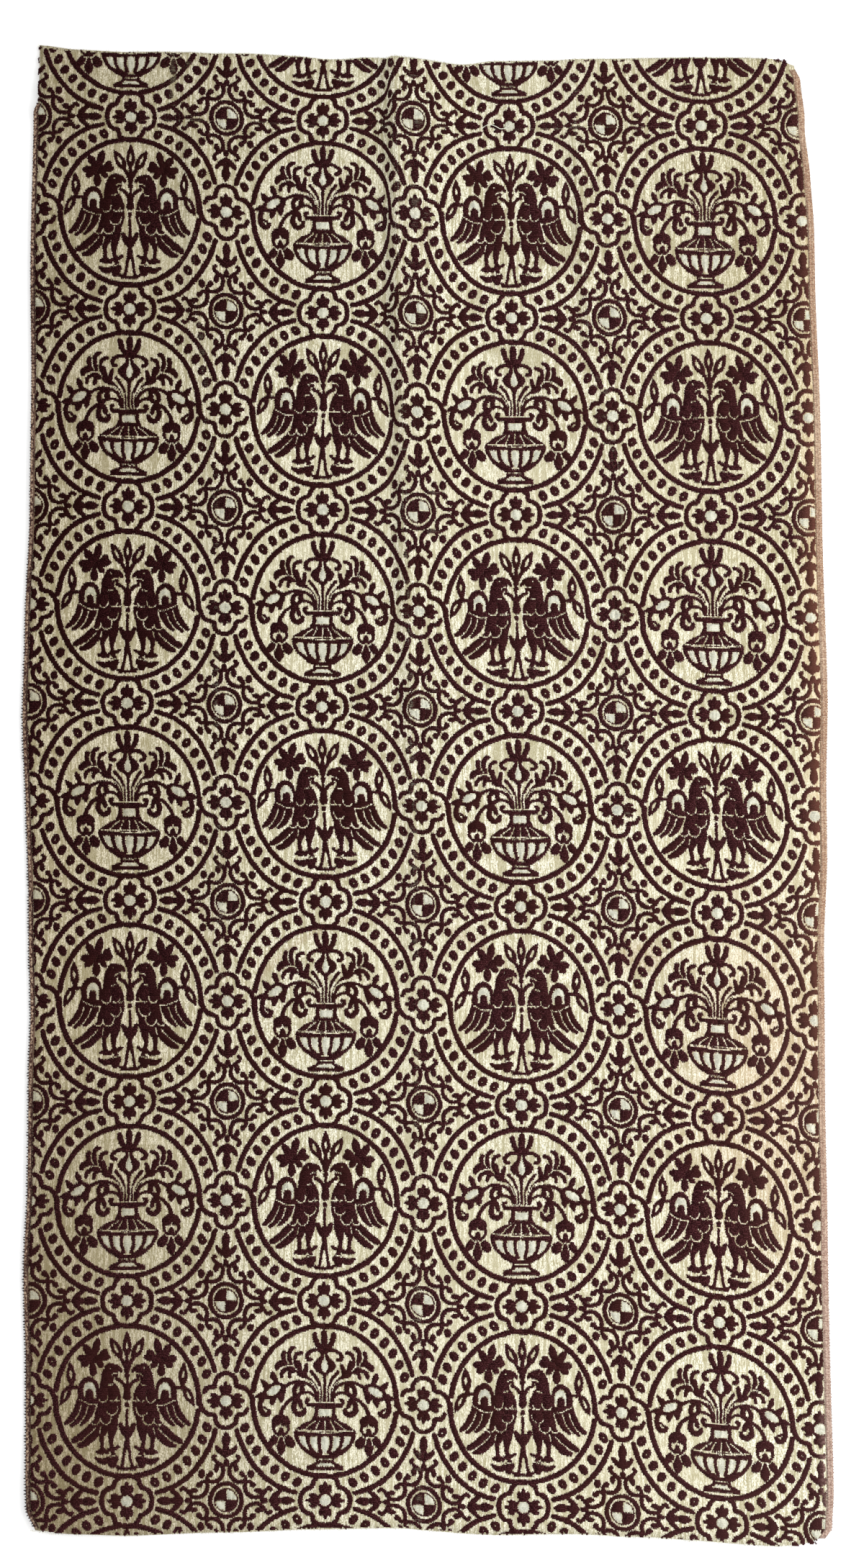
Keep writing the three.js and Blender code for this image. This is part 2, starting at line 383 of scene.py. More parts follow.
class Chart:
    """One repeat of the pattern, as distances to the edge of each yarn, below nought inside it."""

    def __init__(self, other=None):
        self.step = (REPEAT_ACROSS / CHART_POINTS, REPEAT_DOWN / CHART_POINTS)
        self.layers = {}
        for name in ("dark", "silver"):
            empty = np.full((CHART_POINTS, CHART_POINTS), CHART_FAR, np.float32)
            self.layers[name] = empty if other is None else other.layers[name].copy()

    def window(self, low, high):
        """Part of the chart round a stroke. It wraps, because the pattern repeats."""
        picked = []
        places = []
        for axis in (0, 1):
            first = math.floor(low[axis] / self.step[axis])
            last = math.ceil(high[axis] / self.step[axis])
            index = np.arange(first, last + 1)
            picked.append(index % CHART_POINTS)
            places.append(index * self.step[axis])
        return np.ix_(picked[1], picked[0]), places[0][None, :], places[1][:, None]

    def lay(self, layer, spot, distance):
        dark = self.layers["dark"]
        if layer != "light":
            field = self.layers[layer]
            field[spot] = np.minimum(field[spot], distance)
        if layer != "dark":
            dark[spot] = np.maximum(dark[spot], -distance)

    def read(self, layer, across, up):
        """Distance at places given from the middle of the roundel."""
        field = self.layers[layer]
        column = np.mod(across / self.step[0], CHART_POINTS)
        row = np.mod(up / self.step[1], CHART_POINTS)
        j, i = column.astype(int), row.astype(int)
        fx, fy = column - j, row - i
        j, i = j % CHART_POINTS, i % CHART_POINTS
        right, above = (j + 1) % CHART_POINTS, (i + 1) % CHART_POINTS
        lower = field[i, j] * (1 - fx) + field[i, right] * fx
        upper = field[above, j] * (1 - fx) + field[above, right] * fx
        return lower * (1 - fy) + upper * fy


class Pen:
    """Draws on a chart from the middle of a motif, turned or mirrored as asked."""

    def __init__(self, chart, at=(0.0, 0.0), turn=0.0, mirror=False):
        self.chart = chart
        self.at = np.array(at, float)
        angle = math.radians(turn)
        spin = np.array([[math.cos(angle), -math.sin(angle)], [math.sin(angle), math.cos(angle)]])
        flip = np.diag([-1.0 if mirror else 1.0, 1.0])
        self.frame = spin @ flip

    def place(self, x, y):
        return self.at + self.frame @ np.array([x, y], float)

    def stroke(self, points, layer="dark", curved=True):
        """A line of changing width. Each point is x, y, half width."""
        rows = np.array(points, float)
        if curved and len(rows) > 2:
            rows = smooth_line(rows)
        ends = [self.place(row[0], row[1]) for row in rows]
        for k in range(len(rows) - 1):
            a, b = ends[k], ends[k + 1]
            near, far = rows[k][2], rows[k + 1][2]
            reach = max(near, far) + CHART_MARGIN
            spot, x, y = self.chart.window(np.minimum(a, b) - reach, np.maximum(a, b) + reach)
            d = b - a
            t = np.clip(((x - a[0]) * d[0] + (y - a[1]) * d[1]) / max(d @ d, 1e-9), 0, 1)
            away = np.hypot(x - a[0] - t * d[0], y - a[1] - t * d[1])
            self.chart.lay(layer, spot, away - (near + t * (far - near)))

    def leaf(self, start, end, belly, layer="dark", fat=0.5, tip=0.25):
        a, b = np.array(start, float), np.array(end, float)
        rows = []
        for t, share in ((0, 0.35), (0.5 * fat, 0.85), (fat, 1), ((1 + fat) / 2, 0.68), (1, 0.0)):
            p = a + (b - a) * t
            rows.append((p[0], p[1], max(belly * share, tip)))
        self.stroke(rows, layer)

    def blob(self, x, y, rx, ry, lean=0.0, layer="dark"):
        middle = self.place(x, y)
        reach = max(rx, ry) + CHART_MARGIN
        spot, gx, gy = self.chart.window(middle - reach, middle + reach)
        angle = math.radians(lean)
        way = self.frame @ np.array([math.cos(angle), math.sin(angle)])
        px = (gx - middle[0]) * way[0] + (gy - middle[1]) * way[1]
        py = -(gx - middle[0]) * way[1] + (gy - middle[1]) * way[0]
        near = np.hypot(px / rx, py / ry)
        steep = np.hypot(px / rx ** 2, py / ry ** 2) + 1e-6
        self.chart.lay(layer, spot, near * (near - 1) / steep)

    def arc(self, rx, ry, start, end, half, layer="dark", x=0.0, y=0.0):
        steps = max(4, int(abs(end - start) / 4))
        rows = []
        for k in range(steps + 1):
            angle = math.radians(start + (end - start) * k / steps)
            rows.append((x + rx * math.cos(angle), y + ry * math.sin(angle), half))
        self.stroke(rows, layer, curved=False)

    def patch(self, corners, layer="dark"):
        """A straight-sided filled shape."""
        points = [self.place(*corner) for corner in corners]
        low = np.min(points, axis=0) - CHART_MARGIN
        high = np.max(points, axis=0) + CHART_MARGIN
        spot, x, y = self.chart.window(low, high)
        away = np.full(np.broadcast(x, y).shape, 1e9)
        inside = np.zeros(away.shape, bool)
        for a, b in zip(points, points[1:] + points[:1]):
            d = b - a
            t = np.clip(((x - a[0]) * d[0] + (y - a[1]) * d[1]) / (d @ d), 0, 1)
            away = np.minimum(away, np.hypot(x - a[0] - t * d[0], y - a[1] - t * d[1]))
            crosses = (a[1] > y) != (b[1] > y)
            rise = b[1] - a[1] if b[1] != a[1] else 1e-9
            inside ^= crosses & (x < (b[0] - a[0]) * (y - a[1]) / rise + a[0])
        self.chart.lay(layer, spot, np.where(inside, -away, away))


def smooth_line(rows, parts=5):
    """Points on a smooth curve through the rows."""
    ends = np.vstack([2 * rows[0] - rows[1], rows, 2 * rows[-1] - rows[-2]])
    made = []
    for k in range(1, len(ends) - 2):
        p0, p1, p2, p3 = ends[k - 1], ends[k], ends[k + 1], ends[k + 2]
        for j in range(parts):
            t = j / parts
            bend = (2 * p0 - 5 * p1 + 4 * p2 - p3) * t * t + (3 * p1 - p0 - 3 * p2 + p3) * t ** 3
            made.append(0.5 * (2 * p1 + (p2 - p0) * t + bend))
    made.append(ends[-2])
    made = np.array(made)
    made[:, 2] = np.maximum(made[:, 2], 0.15)
    return made


def both_sides(chart, draw, at=(0.0, 0.0), turn=0.0):
    for mirror in (False, True):
        draw(Pen(chart, at, turn, mirror))


# Rings of a roundel, with the pearls between them

INNER_RING = (47.9, 50.6, 1.62)
# One quarter of the outer ring: x, y, half width
OUTER_RING = (
    (19.8, 61.5, 1.5), (26.0, 59.6, 1.6), (32.0, 57.0, 1.6), (40.0, 51.5, 1.6), (47.0, 43.8, 1.6),
    (52.4, 35.6, 1.6), (56.4, 27.3, 1.6), (58.7, 20.0, 1.5),
)
PEARL_RING = (56.0, 57.7)
PEARLS = 7


def draw_rings(chart):
    pen = Pen(chart)
    rx, ry, half = INNER_RING
    for start, end in ((-2, 92), (97.5, 172), (178, 272), (277.5, 352)):
        pen.arc(rx, ry, start, end, half)
    for turn in (0, 180):
        for mirror in (False, True):
            Pen(chart, turn=turn, mirror=mirror).stroke(OUTER_RING)


def draw_pearls(chart):
    for side in range(4):
        pen = Pen(chart, turn=180 if side in (2, 3) else 0, mirror=side in (1, 2))
        for k in range(PEARLS):
            t = math.radians(18.0 + 52.6 * k / (PEARLS - 1))
            x = PEARL_RING[0] * math.cos(t)
            y = PEARL_RING[1] * math.sin(t)
            lean = 50 + 8 * math.sin(2 * t)
            pen.blob(x, y, 3.6, 2.65, lean)
            if k != 2:
                pen.blob(x + 0.2, y + 0.2, 0.8, 0.45, lean, layer="light")


# Links between neighbouring roundels: one strand each, which is also turned half way round
SIDE_LINK = (
    (-17.8, 3.5, 1.45), (-17.6, -0.5, 1.45), (-16.2, -4.8, 1.45), (-13.2, -8.2, 1.45), (-9.6, -9.4, 1.45),
    (-7.3, -10.6, 1.45), (-6.8, -13.4, 1.4), (-4.8, -16.8, 1.4), (0, -18.3, 1.4), (4.6, -16.6, 1.4),
    (6.8, -13.2, 1.4), (7.3, -10.2, 1.4), (9.4, -9.2, 1.4), (12.4, -8.6, 1.4), (14.5, -5.4, 1.15),
)
UPPER_LINK = (
    (-3.5, 16.9, 1.45), (0.6, 16.9, 1.45), (4.8, 16.0, 1.45), (7.8, 13.8, 1.45), (8.5, 11.0, 1.4),
    (9.5, 9.1, 1.4), (12.4, 8.2, 1.45), (15.1, 5.8, 1.45), (16.3, 2.0, 1.45), (16.3, -2.0, 1.45),
    (15.1, -5.6, 1.45), (12.4, -8.0, 1.45), (9.6, -9.0, 1.4), (8.5, -10.8, 1.4), (7.5, -13.2, 1.3),
    (5.5, -14.8, 1.1),
)


def draw_link(chart, at, strand):
    for turn in (0, 180):
        Pen(chart, at, turn).stroke(strand)
    for k in range(4):
        pen = Pen(chart, at, 90 * k)
        wide = 1.25 if k % 2 else 1.0
        pen.stroke([(0, 5.2, 2.0), (0, 8.0, 2.2), (0, 10.4, 1.3), (0, 12.0, 0.8)])
        for side in (-wide, wide):
            pen.stroke([(side * 1.4, 5.8, 1.3), (side * 2.6, 7.2, 1.5), (side * 2.9, 9.0, 1.2),
                        (side * 2.8, 9.8, 0.7)])
            pen.stroke([(side * 1.6, 8.4, 0.25), (side * 1.9, 11.0, 0.4)], layer="light", curved=False)
    pen = Pen(chart, at)
    pen.blob(0, 0, 5.5, 5.5)
    pen.blob(0, 0, 4.1, 4.0, layer="silver")


# Medallions in the corners between four roundels, each with four small plants and eight scrolls

SCROLL = (
    (10.6, 17.8, 1.5), (12.5, 16.0, 1.05), (12.6, 14.2, 1.05), (10.8, 12.8, 1.15), (7.8, 12.7, 1.25),
    (4.6, 14.1, 1.3), (2.4, 17.4, 1.25), (2.0, 20.8, 1.2), (3.2, 23.6, 1.15), (5.4, 25.2, 1.1),
    (7.6, 27.0, 1.1), (8.5, 28.8, 1.05), (7.3, 29.9, 1.1),
)
SCROLL_HEAD = (10.4, 18.0, 1.8, 1.9)
SCROLL_BUD = ((6.6, 19.8, 0.9), (6.5, 21.6, 1.7), (5.8, 24.4, 0.9))
DISC_QUARTER = ((0.2, 0.2), (0.2, 7.4), (2.3, 7.2), (4.6, 6.1), (6.4, 4.3), (7.2, 2.0), (7.4, 0.2))


def draw_medallion(chart, at):
    pen = Pen(chart, at)
    pen.blob(0, 0, 11.9, 12.5)
    pen.blob(0, 0, 9.2, 9.9, layer="light")
    pen.blob(0, 0, 7.9, 8.1)
    for turn in (0, 180):
        Pen(chart, at, turn).patch(DISC_QUARTER, layer="silver")
    for k in range(4):
        draw_small_plant(chart, at, 90 * k)
    for dx in (-1, 1):
        for dy in (-1, 1):
            pen.blob(dx * 16.5, dy * 17.9, 2.2, 2.8)


def draw_small_plant(chart, at, turn):
    pen = Pen(chart, at, turn)
    pen.blob(0, 25.2, 2.5, 1.7, 90)
    pen.stroke([(0, 29.2, 0.8), (0, 31.6, 2.5), (0, 34.0, 2.3), (0, 37.0, 1.6)])
    pen.leaf((0, 36.6), (0, 46.0), 2.7, fat=0.45)

    def half(side):
        side.stroke([(1.8, 31.4, 1.8), (3.8, 33.0, 1.7), (5.5, 34.8, 1.4), (6.3, 36.4, 0.9)])
        side.stroke(SCROLL)
        side.blob(*SCROLL_HEAD)
        side.stroke(SCROLL_BUD)

    both_sides(chart, half, at, turn)


# Roundel with two birds beside a flowering stem

def draw_bird_roundel(chart):
    pen = Pen(chart)
    draw_stem_and_cup(pen)
    for draw in (draw_stem_side, draw_star_flower, draw_side_sprig, draw_bird_body, draw_bird_wing,
                 draw_bird_markings):
        both_sides(chart, draw)


def draw_stem_and_cup(pen):
    pen.leaf((0, 31.0), (0, 46.4), 2.8, fat=0.42)
    pen.blob(0, 37.2, 2.6, 1.05, 90, layer="light")
    pen.stroke([(0, 32.0, 1.0), (0, 26.0, 1.1), (0, 21.5, 1.8), (0, 19.8, 1.3)])
    pen.stroke([(0, 16.9, 1.7), (0, 15.6, 0.7), (0, 11.6, 0.8), (0, 8.6, 1.8), (0, 5.0, 2.2), (0, 2.4, 2.6)])
    pen.stroke([(0, -2.7, 1.3), (0, -3.6, 1.3)], curved=False)
    pen.stroke([(0, -6.4, 0.75), (0, -17.0, 0.8)], curved=False)
    pen.stroke([(0, -19.6, 2.4), (0, -22.0, 2.9), (0, -24.0, 1.9)])
    pen.stroke([(0, -26.6, 1.3), (0, -29.0, 1.7), (0, -31.4, 1.8)])
    pen.patch([(-6.2, -46.3), (6.2, -46.3), (5.2, -44.4), (-5.2, -44.4)])


def draw_stem_side(pen):
    pen.leaf((4.2, 29.4), (11.2, 42.2), 3.1, fat=0.42)
    pen.stroke([(6.3, 32.8, 0.7), (7.5, 35.2, 1.2), (8.6, 37.6, 0.7)], layer="light")
    pen.stroke([(5.2, 30.0, 1.0), (3.0, 27.0, 1.1), (1.0, 23.0, 1.2)])
    pen.stroke([(1.0, 8.6, 1.0), (2.6, 11.4, 1.0), (4.6, 13.4, 1.05), (7.0, 14.4, 1.0)])
    pen.stroke([(1.6, -22.0, 2.0), (3.4, -19.0, 1.7), (4.6, -16.2, 1.2)])
    pen.stroke([(0.8, -30.0, 1.0), (1.8, -35.0, 0.8), (2.5, -40.0, 0.75), (3.4, -43.6, 0.9)])
    pen.stroke([(4.0, -45.0, 1.0), (6.2, -44.2, 0.9)], curved=False)
    pen.stroke([(8.0, -38.6, 2.0), (11.8, -39.9, 1.9), (16.2, -41.0, 1.9), (20.6, -39.0, 0.8)])
    pen.blob(9.0, -39.0, 3.2, 2.7, 20)
    pen.blob(9.6, -42.3, 2.5, 2.5)


# Petals of the star flower: start x, start y, tip x, tip y, half width
STAR_PETALS = (
    (22.0, 30.0, 19.0, 42.0, 2.7), (24.0, 30.0, 28.6, 37.8, 2.7), (25.0, 28.0, 32.8, 28.4, 2.7),
    (25.0, 26.6, 30.2, 23.2, 2.4), (22.8, 25.0, 22.6, 16.4, 2.7), (19.6, 29.6, 11.6, 29.2, 2.9),
    (20.0, 27.0, 16.2, 22.6, 2.2), (17.5, 31.0, 13.6, 33.8, 2.1),
)


def draw_star_flower(pen):
    pen.blob(22.4, 28.4, 3.8, 3.4)
    for x, y, tip_x, tip_y, belly in STAR_PETALS:
        pen.leaf((x, y), (tip_x, tip_y), belly - 0.25, fat=0.6)


def draw_side_sprig(pen):
    pen.leaf((37.0, 10.4), (37.9, 25.6), 2.9, fat=0.48)
    pen.blob(37.6, 17.6, 2.7, 1.05, 86, layer="light")
    pen.leaf((38.4, 8.8), (44.8, -3.4), 2.9, fat=0.42)
    pen.stroke([(40.2, 5.8, 0.6), (41.4, 3.5, 1.05), (42.4, 1.2, 0.6)], layer="light")
    pen.stroke([(33.6, 8.9, 0.9), (36.0, 8.6, 1.1), (38.2, 9.0, 1.0)])


def draw_bird_body(pen):
    pen.stroke([(10.6, 20.6, 4.6), (13.0, 16.4, 4.2), (13.4, 11.0, 4.4), (12.3, 6.4, 6.3), (11.9, 2.0, 7.5),
                (12.6, -6.0, 8.2), (15.0, -12.4, 6.8)])
    pen.stroke([(9.0, 22.6, 2.2), (6.2, 22.4, 1.5), (4.2, 20.6, 1.0), (3.6, 19.4, 0.5)])
    pen.stroke([(9.4, 19.0, 2.2), (7.6, 17.6, 1.4), (6.9, 16.6, 0.8)])
    # thighs, legs and feet
    pen.stroke([(9.2, -13.0, 3.0), (9.6, -18.0, 2.9), (10.6, -23.4, 2.1), (10.8, -28.4, 1.2),
                (10.2, -32.2, 1.2)])
    pen.stroke([(15.0, -14.6, 3.6), (16.0, -20.0, 2.9), (17.2, -25.0, 1.5), (17.0, -29.4, 1.1),
                (16.6, -33.0, 1.3)])
    pen.stroke([(5.6, -31.0, 1.0), (7.6, -32.4, 1.0), (9.8, -32.8, 1.6), (12.4, -33.6, 0.9)])
    pen.stroke([(8.4, -36.0, 0.8), (9.8, -34.6, 1.2)], curved=False)
    pen.stroke([(13.2, -35.2, 1.0), (16.4, -33.8, 1.7), (19.6, -34.6, 1.0)])
    pen.blob(16.6, -35.2, 2.0, 1.1)
    # tail feathers
    pen.stroke([(19.4, -14.6, 2.6), (24.6, -19.0, 2.4), (30.4, -24.0, 2.2), (35.4, -27.2, 1.8)])
    pen.stroke([(17.0, -17.4, 2.4), (21.8, -23.0, 2.4), (27.0, -28.2, 2.3), (31.2, -30.2, 1.7)])


def draw_bird_wing(pen):
    pen.stroke([(19.9, 2.0, 1.0), (19.9, 7.0, 1.0), (21.4, 11.6, 1.4), (25.0, 14.3, 1.7), (29.0, 12.4, 1.8),
                (31.0, 8.0, 1.8), (31.2, 1.0, 1.8)])
    pen.stroke([(21.0, -1.0, 2.0), (26.0, -1.2, 2.3), (31.0, 0.2, 2.2)])
    pen.blob(25.1, 6.6, 6.1, 4.4, 90, layer="silver")
    pen.stroke([(25.3, -1.0, 2.4), (25.3, 4.9, 2.3)], curved=False)
    # wing feathers: shift, drop and length of each beside the outermost one
    for shift, drop, reach in ((0.0, 0.0, 0.94), (-3.9, -1.6, 0.92), (-8.6, -2.6, 0.80)):
        feather = []
        for x, y, half in ((31.6, -0.4, 2.1), (33.6, -6.4, 2.1), (37.4, -12.6, 1.9), (41.6, -16.6, 1.2)):
            feather.append((31.6 + (x - 31.6) * reach + shift, -0.4 + (y + 0.4) * reach + drop, half))
        pen.stroke(feather)


# Fine light lines on the bird: middle x, middle y, radius, from angle, to angle
BIRD_SCALLOPS = (
    (16.2, 2.4, 3.2, 170, 330), (9.8, 3.2, 3.4, 200, 300), (10.2, -5.4, 4.0, 170, 330),
    (14.6, -12.0, 3.8, 165, 350), (21.4, -12.8, 3.2, 175, 345),
)
BIRD_LINES = (
    ((6.6, 18.6), (9.0, 18.2), (10.2, 17.2)),
    ((9.6, 10.8), (12.8, 10.2)),
    ((4.4, -0.2), (7.4, -0.6)),
    ((20.2, -2.8), (21.6, -8.0), (24.0, -13.8)),
    ((20.6, -3.0), (26.0, -2.6), (32.4, 0.6)),
    ((30.8, -3.4), (32.2, -8.2), (35.2, -13.2), (38.6, -16.6)),
    ((26.4, -4.4), (27.8, -9.2), (30.4, -13.6), (33.2, -16.8)),
    ((21.2, -18.8), (25.0, -22.8), (30.0, -27.2), (33.4, -29.4)),
    ((17.6, -18.0), (18.4, -22.0)),
    ((-2.2, -0.9), (2.2, -0.9)),
    ((-2.2, -5.2), (2.2, -5.2)),
    ((5.2, -36.6), (8.0, -36.9), (11.6, -37.8)),
)
FINE_LINE = 0.56


def fine_lines(pen, lines):
    for line in lines:
        pen.stroke([(x, y, FINE_LINE) for x, y in line], layer="light")


def draw_bird_markings(pen):
    pen.blob(11.2, 22.2, 0.8, 0.6, layer="light")
    for x, y, radius, start, end in BIRD_SCALLOPS:
        pen.arc(radius, radius * 1.15, start, end, FINE_LINE, layer="light", x=x, y=y)
    fine_lines(pen, BIRD_LINES)


# Roundel with a vase of flowers

def draw_vase_roundel(chart):
    draw_vase_middle(Pen(chart))
    for draw in (draw_bouquet_side, draw_fern_spray, draw_spiked_flower, draw_hook_pair, draw_bell_flower,
                 draw_vase_side):
        both_sides(chart, draw)
    draw_vase_lines(Pen(chart))


def draw_vase_middle(pen):
    # middle prong of the bloom, the drop under it and the middle stem
    pen.stroke([(0, 46.2, 1.7), (0, 43.2, 2.2), (0, 39.4, 1.8), (0, 36.4, 1.7)])
    pen.stroke([(0, 35.6, 2.6), (0, 32.4, 2.2), (0, 29.0, 3.0), (0, 25.8, 4.7), (0, 23.6, 5.0),
                (0, 21.2, 3.8), (0, 18.4, 1.7), (0, 15.0, 0.95), (0, 6.0, 0.75), (0, -0.6, 0.75)])
    pen.stroke([(0, 32.6, 0.5), (0, 29.4, 0.8), (0, 26.6, 1.6), (0, 23.8, 2.5), (0, 21.8, 2.1),
                (0, 20.0, 0.6)], layer="silver")
    # lip, neck, shoulder, band and foot of the vase
    pen.stroke([(-10.8, -2.5, 1.25), (10.8, -2.5, 1.25)], curved=False)
    pen.patch([(-6.8, -3.4), (6.8, -3.4), (6.8, -8.4), (8.7, -12.3), (-8.7, -12.3), (-6.8, -8.4)])
    pen.patch([(-4.7, -4.8), (4.7, -4.8), (4.7, -10.4), (-4.7, -10.4)], layer="silver")
    pen.patch([(-8.8, -12.9), (8.8, -12.9), (14.4, -15.2), (19.6, -19.2), (-19.6, -19.2), (-14.4, -15.2)])
    pen.patch([(-20.4, -20.2), (20.4, -20.2), (17.0, -23.6), (-17.0, -23.6)])
    pen.patch([(-4.6, -36.6), (4.6, -36.6), (4.6, -40.6), (12.0, -43.8), (12.0, -46.4), (-12.0, -46.4),
               (-12.0, -43.8), (-4.6, -40.6)])
    pen.patch([(-3.8, -41.4), (3.8, -41.4), (7.4, -44.2), (-7.4, -44.2)], layer="silver")


def draw_vase_side(pen):
    pen.stroke([(10.4, -2.4, 1.1), (12.1, -1.0, 1.0), (12.1, 0.8, 1.0), (10.9, 1.1, 1.1)])
    pen.stroke([(3.8, -36.8, 1.1), (5.0, -40.4, 1.0)], curved=False)
    pen.stroke([(19.2, -21.0, 1.3), (18.7, -25.0, 1.1), (16.2, -29.4, 1.2), (12.0, -33.4, 1.3),
                (6.4, -36.8, 1.5), (3.0, -38.2, 1.2)])
    pen.stroke([(11.2, -22.6, 1.3), (10.8, -28.0, 1.0), (8.4, -33.0, 1.1), (5.0, -36.0, 1.4)])
    pen.stroke([(4.0, -22.4, 1.2), (3.9, -29.0, 0.9), (2.6, -34.6, 1.1)])
    pen.stroke([(0.0, -25.4, 2.3), (0.0, -30.2, 2.2), (0.0, -34.4, 0.9)], layer="silver")
    pen.stroke([(7.5, -26.0, 2.3), (7.3, -29.4, 2.1), (5.7, -33.2, 0.8)], layer="silver")
    pen.stroke([(14.6, -25.4, 2.2), (14.2, -27.8, 1.9), (12.2, -31.2, 0.8)], layer="silver")


VASE_LINES = (
    ((3.6, -13.2), (5.4, -16.6), (6.8, -20.6)),
    ((6.4, -13.4), (10.4, -16.4), (13.6, -19.6)),
    ((1.3, 13.4), (1.3, -0.4)),
    ((3.2, 9.6), (3.3, 0.8)),
    ((4.8, 6.8), (6.8, 11.0), (10.0, 13.9), (14.6, 15.1), (18.6, 15.2)),
    ((0.0, -21.3), (9.0, -20.6), (18.6, -19.6)),
    ((0.0, -39.4), (4.4, -39.4)),
)


def draw_vase_lines(pen):
    fine_lines(pen, [((0, -13.2), (0, -20.4)), ((-9.6, -0.7), (9.6, -0.7))])
    both_sides(pen.chart, lambda side: fine_lines(side, VASE_LINES))


def draw_bouquet_side(pen):
    # outer prong of the bloom, and the curl and the sepal beside it
    pen.stroke([(6.4, 44.8, 1.5), (5.8, 41.6, 1.7), (4.6, 38.4, 1.6), (2.4, 35.6, 1.5)])
    pen.stroke([(1.8, 33.4, 1.0), (4.6, 34.4, 1.05), (8.0, 33.9, 1.1), (11.2, 31.4, 1.2), (11.2, 28.6, 1.2),
                (9.0, 27.8, 1.2)])
    pen.stroke([(3.4, 28.0, 1.0), (5.2, 26.0, 1.2), (6.6, 24.0, 0.9), (4.6, 20.8, 1.0)])
    # stems that fan out of the vase
    pen.stroke([(2.3, -0.4, 0.45), (2.4, 6.0, 0.5), (3.2, 10.6, 0.7), (5.4, 15.4, 0.85), (8.8, 19.7, 1.0)])
    pen.stroke([(4.6, -0.4, 1.0), (4.7, 5.0, 0.8), (6.0, 9.6, 0.75), (8.8, 13.6, 0.85), (12.2, 16.4, 1.2),
                (15.8, 18.2, 1.4)])
    pen.stroke([(5.6, 4.4, 0.8), (7.3, 8.4, 0.8), (11.0, 11.6, 0.85), (17.0, 13.0, 0.95), (22.6, 11.8, 0.95),
                (27.4, 8.8, 1.2)])
    pen.stroke([(5.1, 0.2, 0.9), (6.4, 3.2, 0.8), (9.2, 5.3, 0.8), (12.8, 6.0, 0.9), (16.2, 4.8, 1.1),
                (18.8, 2.2, 1.2)])


FERN_FINGERS = (
    ((20.4, 24.0, 1.3), (20.0, 27.6, 1.3), (18.2, 31.4, 1.2), (15.2, 32.6, 1.2)),
    ((21.8, 23.6, 1.4), (23.3, 28.0, 1.3), (23.3, 32.6, 1.3), (21.8, 35.2, 1.3), (20.0, 35.8, 1.1)),
    ((23.4, 23.4, 1.4), (26.0, 26.2, 1.5), (27.4, 29.6, 1.5), (27.0, 32.4, 1.4)),
    ((24.0, 24.6, 1.4), (27.6, 25.4, 1.9), (30.6, 23.8, 2.1), (31.7, 21.6, 1.2)),
    ((20.0, 20.8, 1.4), (25.2, 21.0, 1.2), (28.2, 18.8, 1.2), (28.9, 16.2, 1.0)),
    ((20.0, 20.2, 1.2), (22.8, 18.6, 1.1), (23.4, 15.8, 1.0)),
    ((16.0, 18.6, 1.5), (17.0, 22.0, 1.8), (17.4, 25.2, 1.4), (17.4, 26.6, 0.9)),
    ((13.6, 17.0, 1.8), (12.6, 21.0, 1.4), (11.8, 24.4, 1.1)),
)
FERN_LINES = (
    ((18.2, 20.4), (20.6, 23.2), (25.2, 23.4), (29.4, 21.6)),
    ((20.6, 30.6), (21.0, 26.4), (20.4, 22.8)),
    ((25.6, 30.6), (25.2, 27.6), (23.6, 25.0)),
)


def draw_fern_spray(pen):
    for finger in FERN_FINGERS:
        pen.stroke(finger)
    pen.blob(20.6, 21.8, 3.4, 2.3, 40)
    pen.blob(15.6, 18.2, 2.8, 2.0, 30)
    fine_lines(pen, FERN_LINES)


def draw_spiked_flower(pen):
    pen.blob(34.0, 6.8, 7.8, 4.8, -33)
    pen.blob(33.8, 6.9, 5.5, 2.9, -30, layer="silver")
    pen.leaf((32.2, 12.0), (34.8, 18.4), 1.8, fat=0.7, tip=1.0)
    pen.leaf((37.8, 8.6), (42.2, 14.0), 1.9, fat=0.35)
    pen.leaf((40.0, 4.0), (46.0, 2.6), 2.0, fat=0.35)
    pen.leaf((28.8, 4.6), (28.9, -0.8), 2.0, fat=0.35)
    pen.leaf((33.8, 2.4), (35.2, -3.0), 2.0, fat=0.35)
    pen.stroke([(27.2, 10.0, 1.5), (27.8, 6.0, 1.8), (30.4, 3.0, 1.6)])
    pen.stroke([(40.8, 3.6, 1.7), (42.6, -1.2, 1.5), (42.7, -5.6, 1.6), (40.6, -8.9, 1.6), (37.8, -9.0, 1.5),
                (36.6, -7.0, 1.2)])
    pen.stroke([(40.4, -4.2, 0.5), (38.6, -5.6, 0.8)], curved=False)


def draw_hook_pair(pen):
    pen.stroke([(14.2, 10.2, 1.0), (17.2, 10.9, 1.2), (19.7, 9.0, 1.3), (20.1, 5.4, 1.4), (18.2, 2.4, 1.4)])
    pen.blob(14.9, 7.8, 1.7, 1.9)
    pen.stroke([(18.2, 1.8, 1.3), (20.3, -2.2, 1.5), (20.2, -6.4, 1.7), (17.2, -9.0, 1.7), (14.2, -7.8, 1.5),
                (13.4, -5.6, 1.2)])
    pen.stroke([(17.0, 0.8, 1.1), (16.2, -1.8, 1.4), (15.8, -3.6, 1.2)])
    pen.stroke([(18.6, 2.4, 1.1), (22.6, 0.8, 1.1), (26.4, -2.8, 1.1), (28.6, -7.0, 1.2), (29.2, -10.4, 1.3)])


BELL = 29.2
BELL_LINES = (
    ((-5.8, -21.0), (-2.4, -24.4), (0, -23.8), (2.4, -24.4), (5.8, -21.0)),
    ((-1.2, -24.4), (-2.6, -29.0)),
    ((1.2, -24.4), (2.6, -29.0)),
)


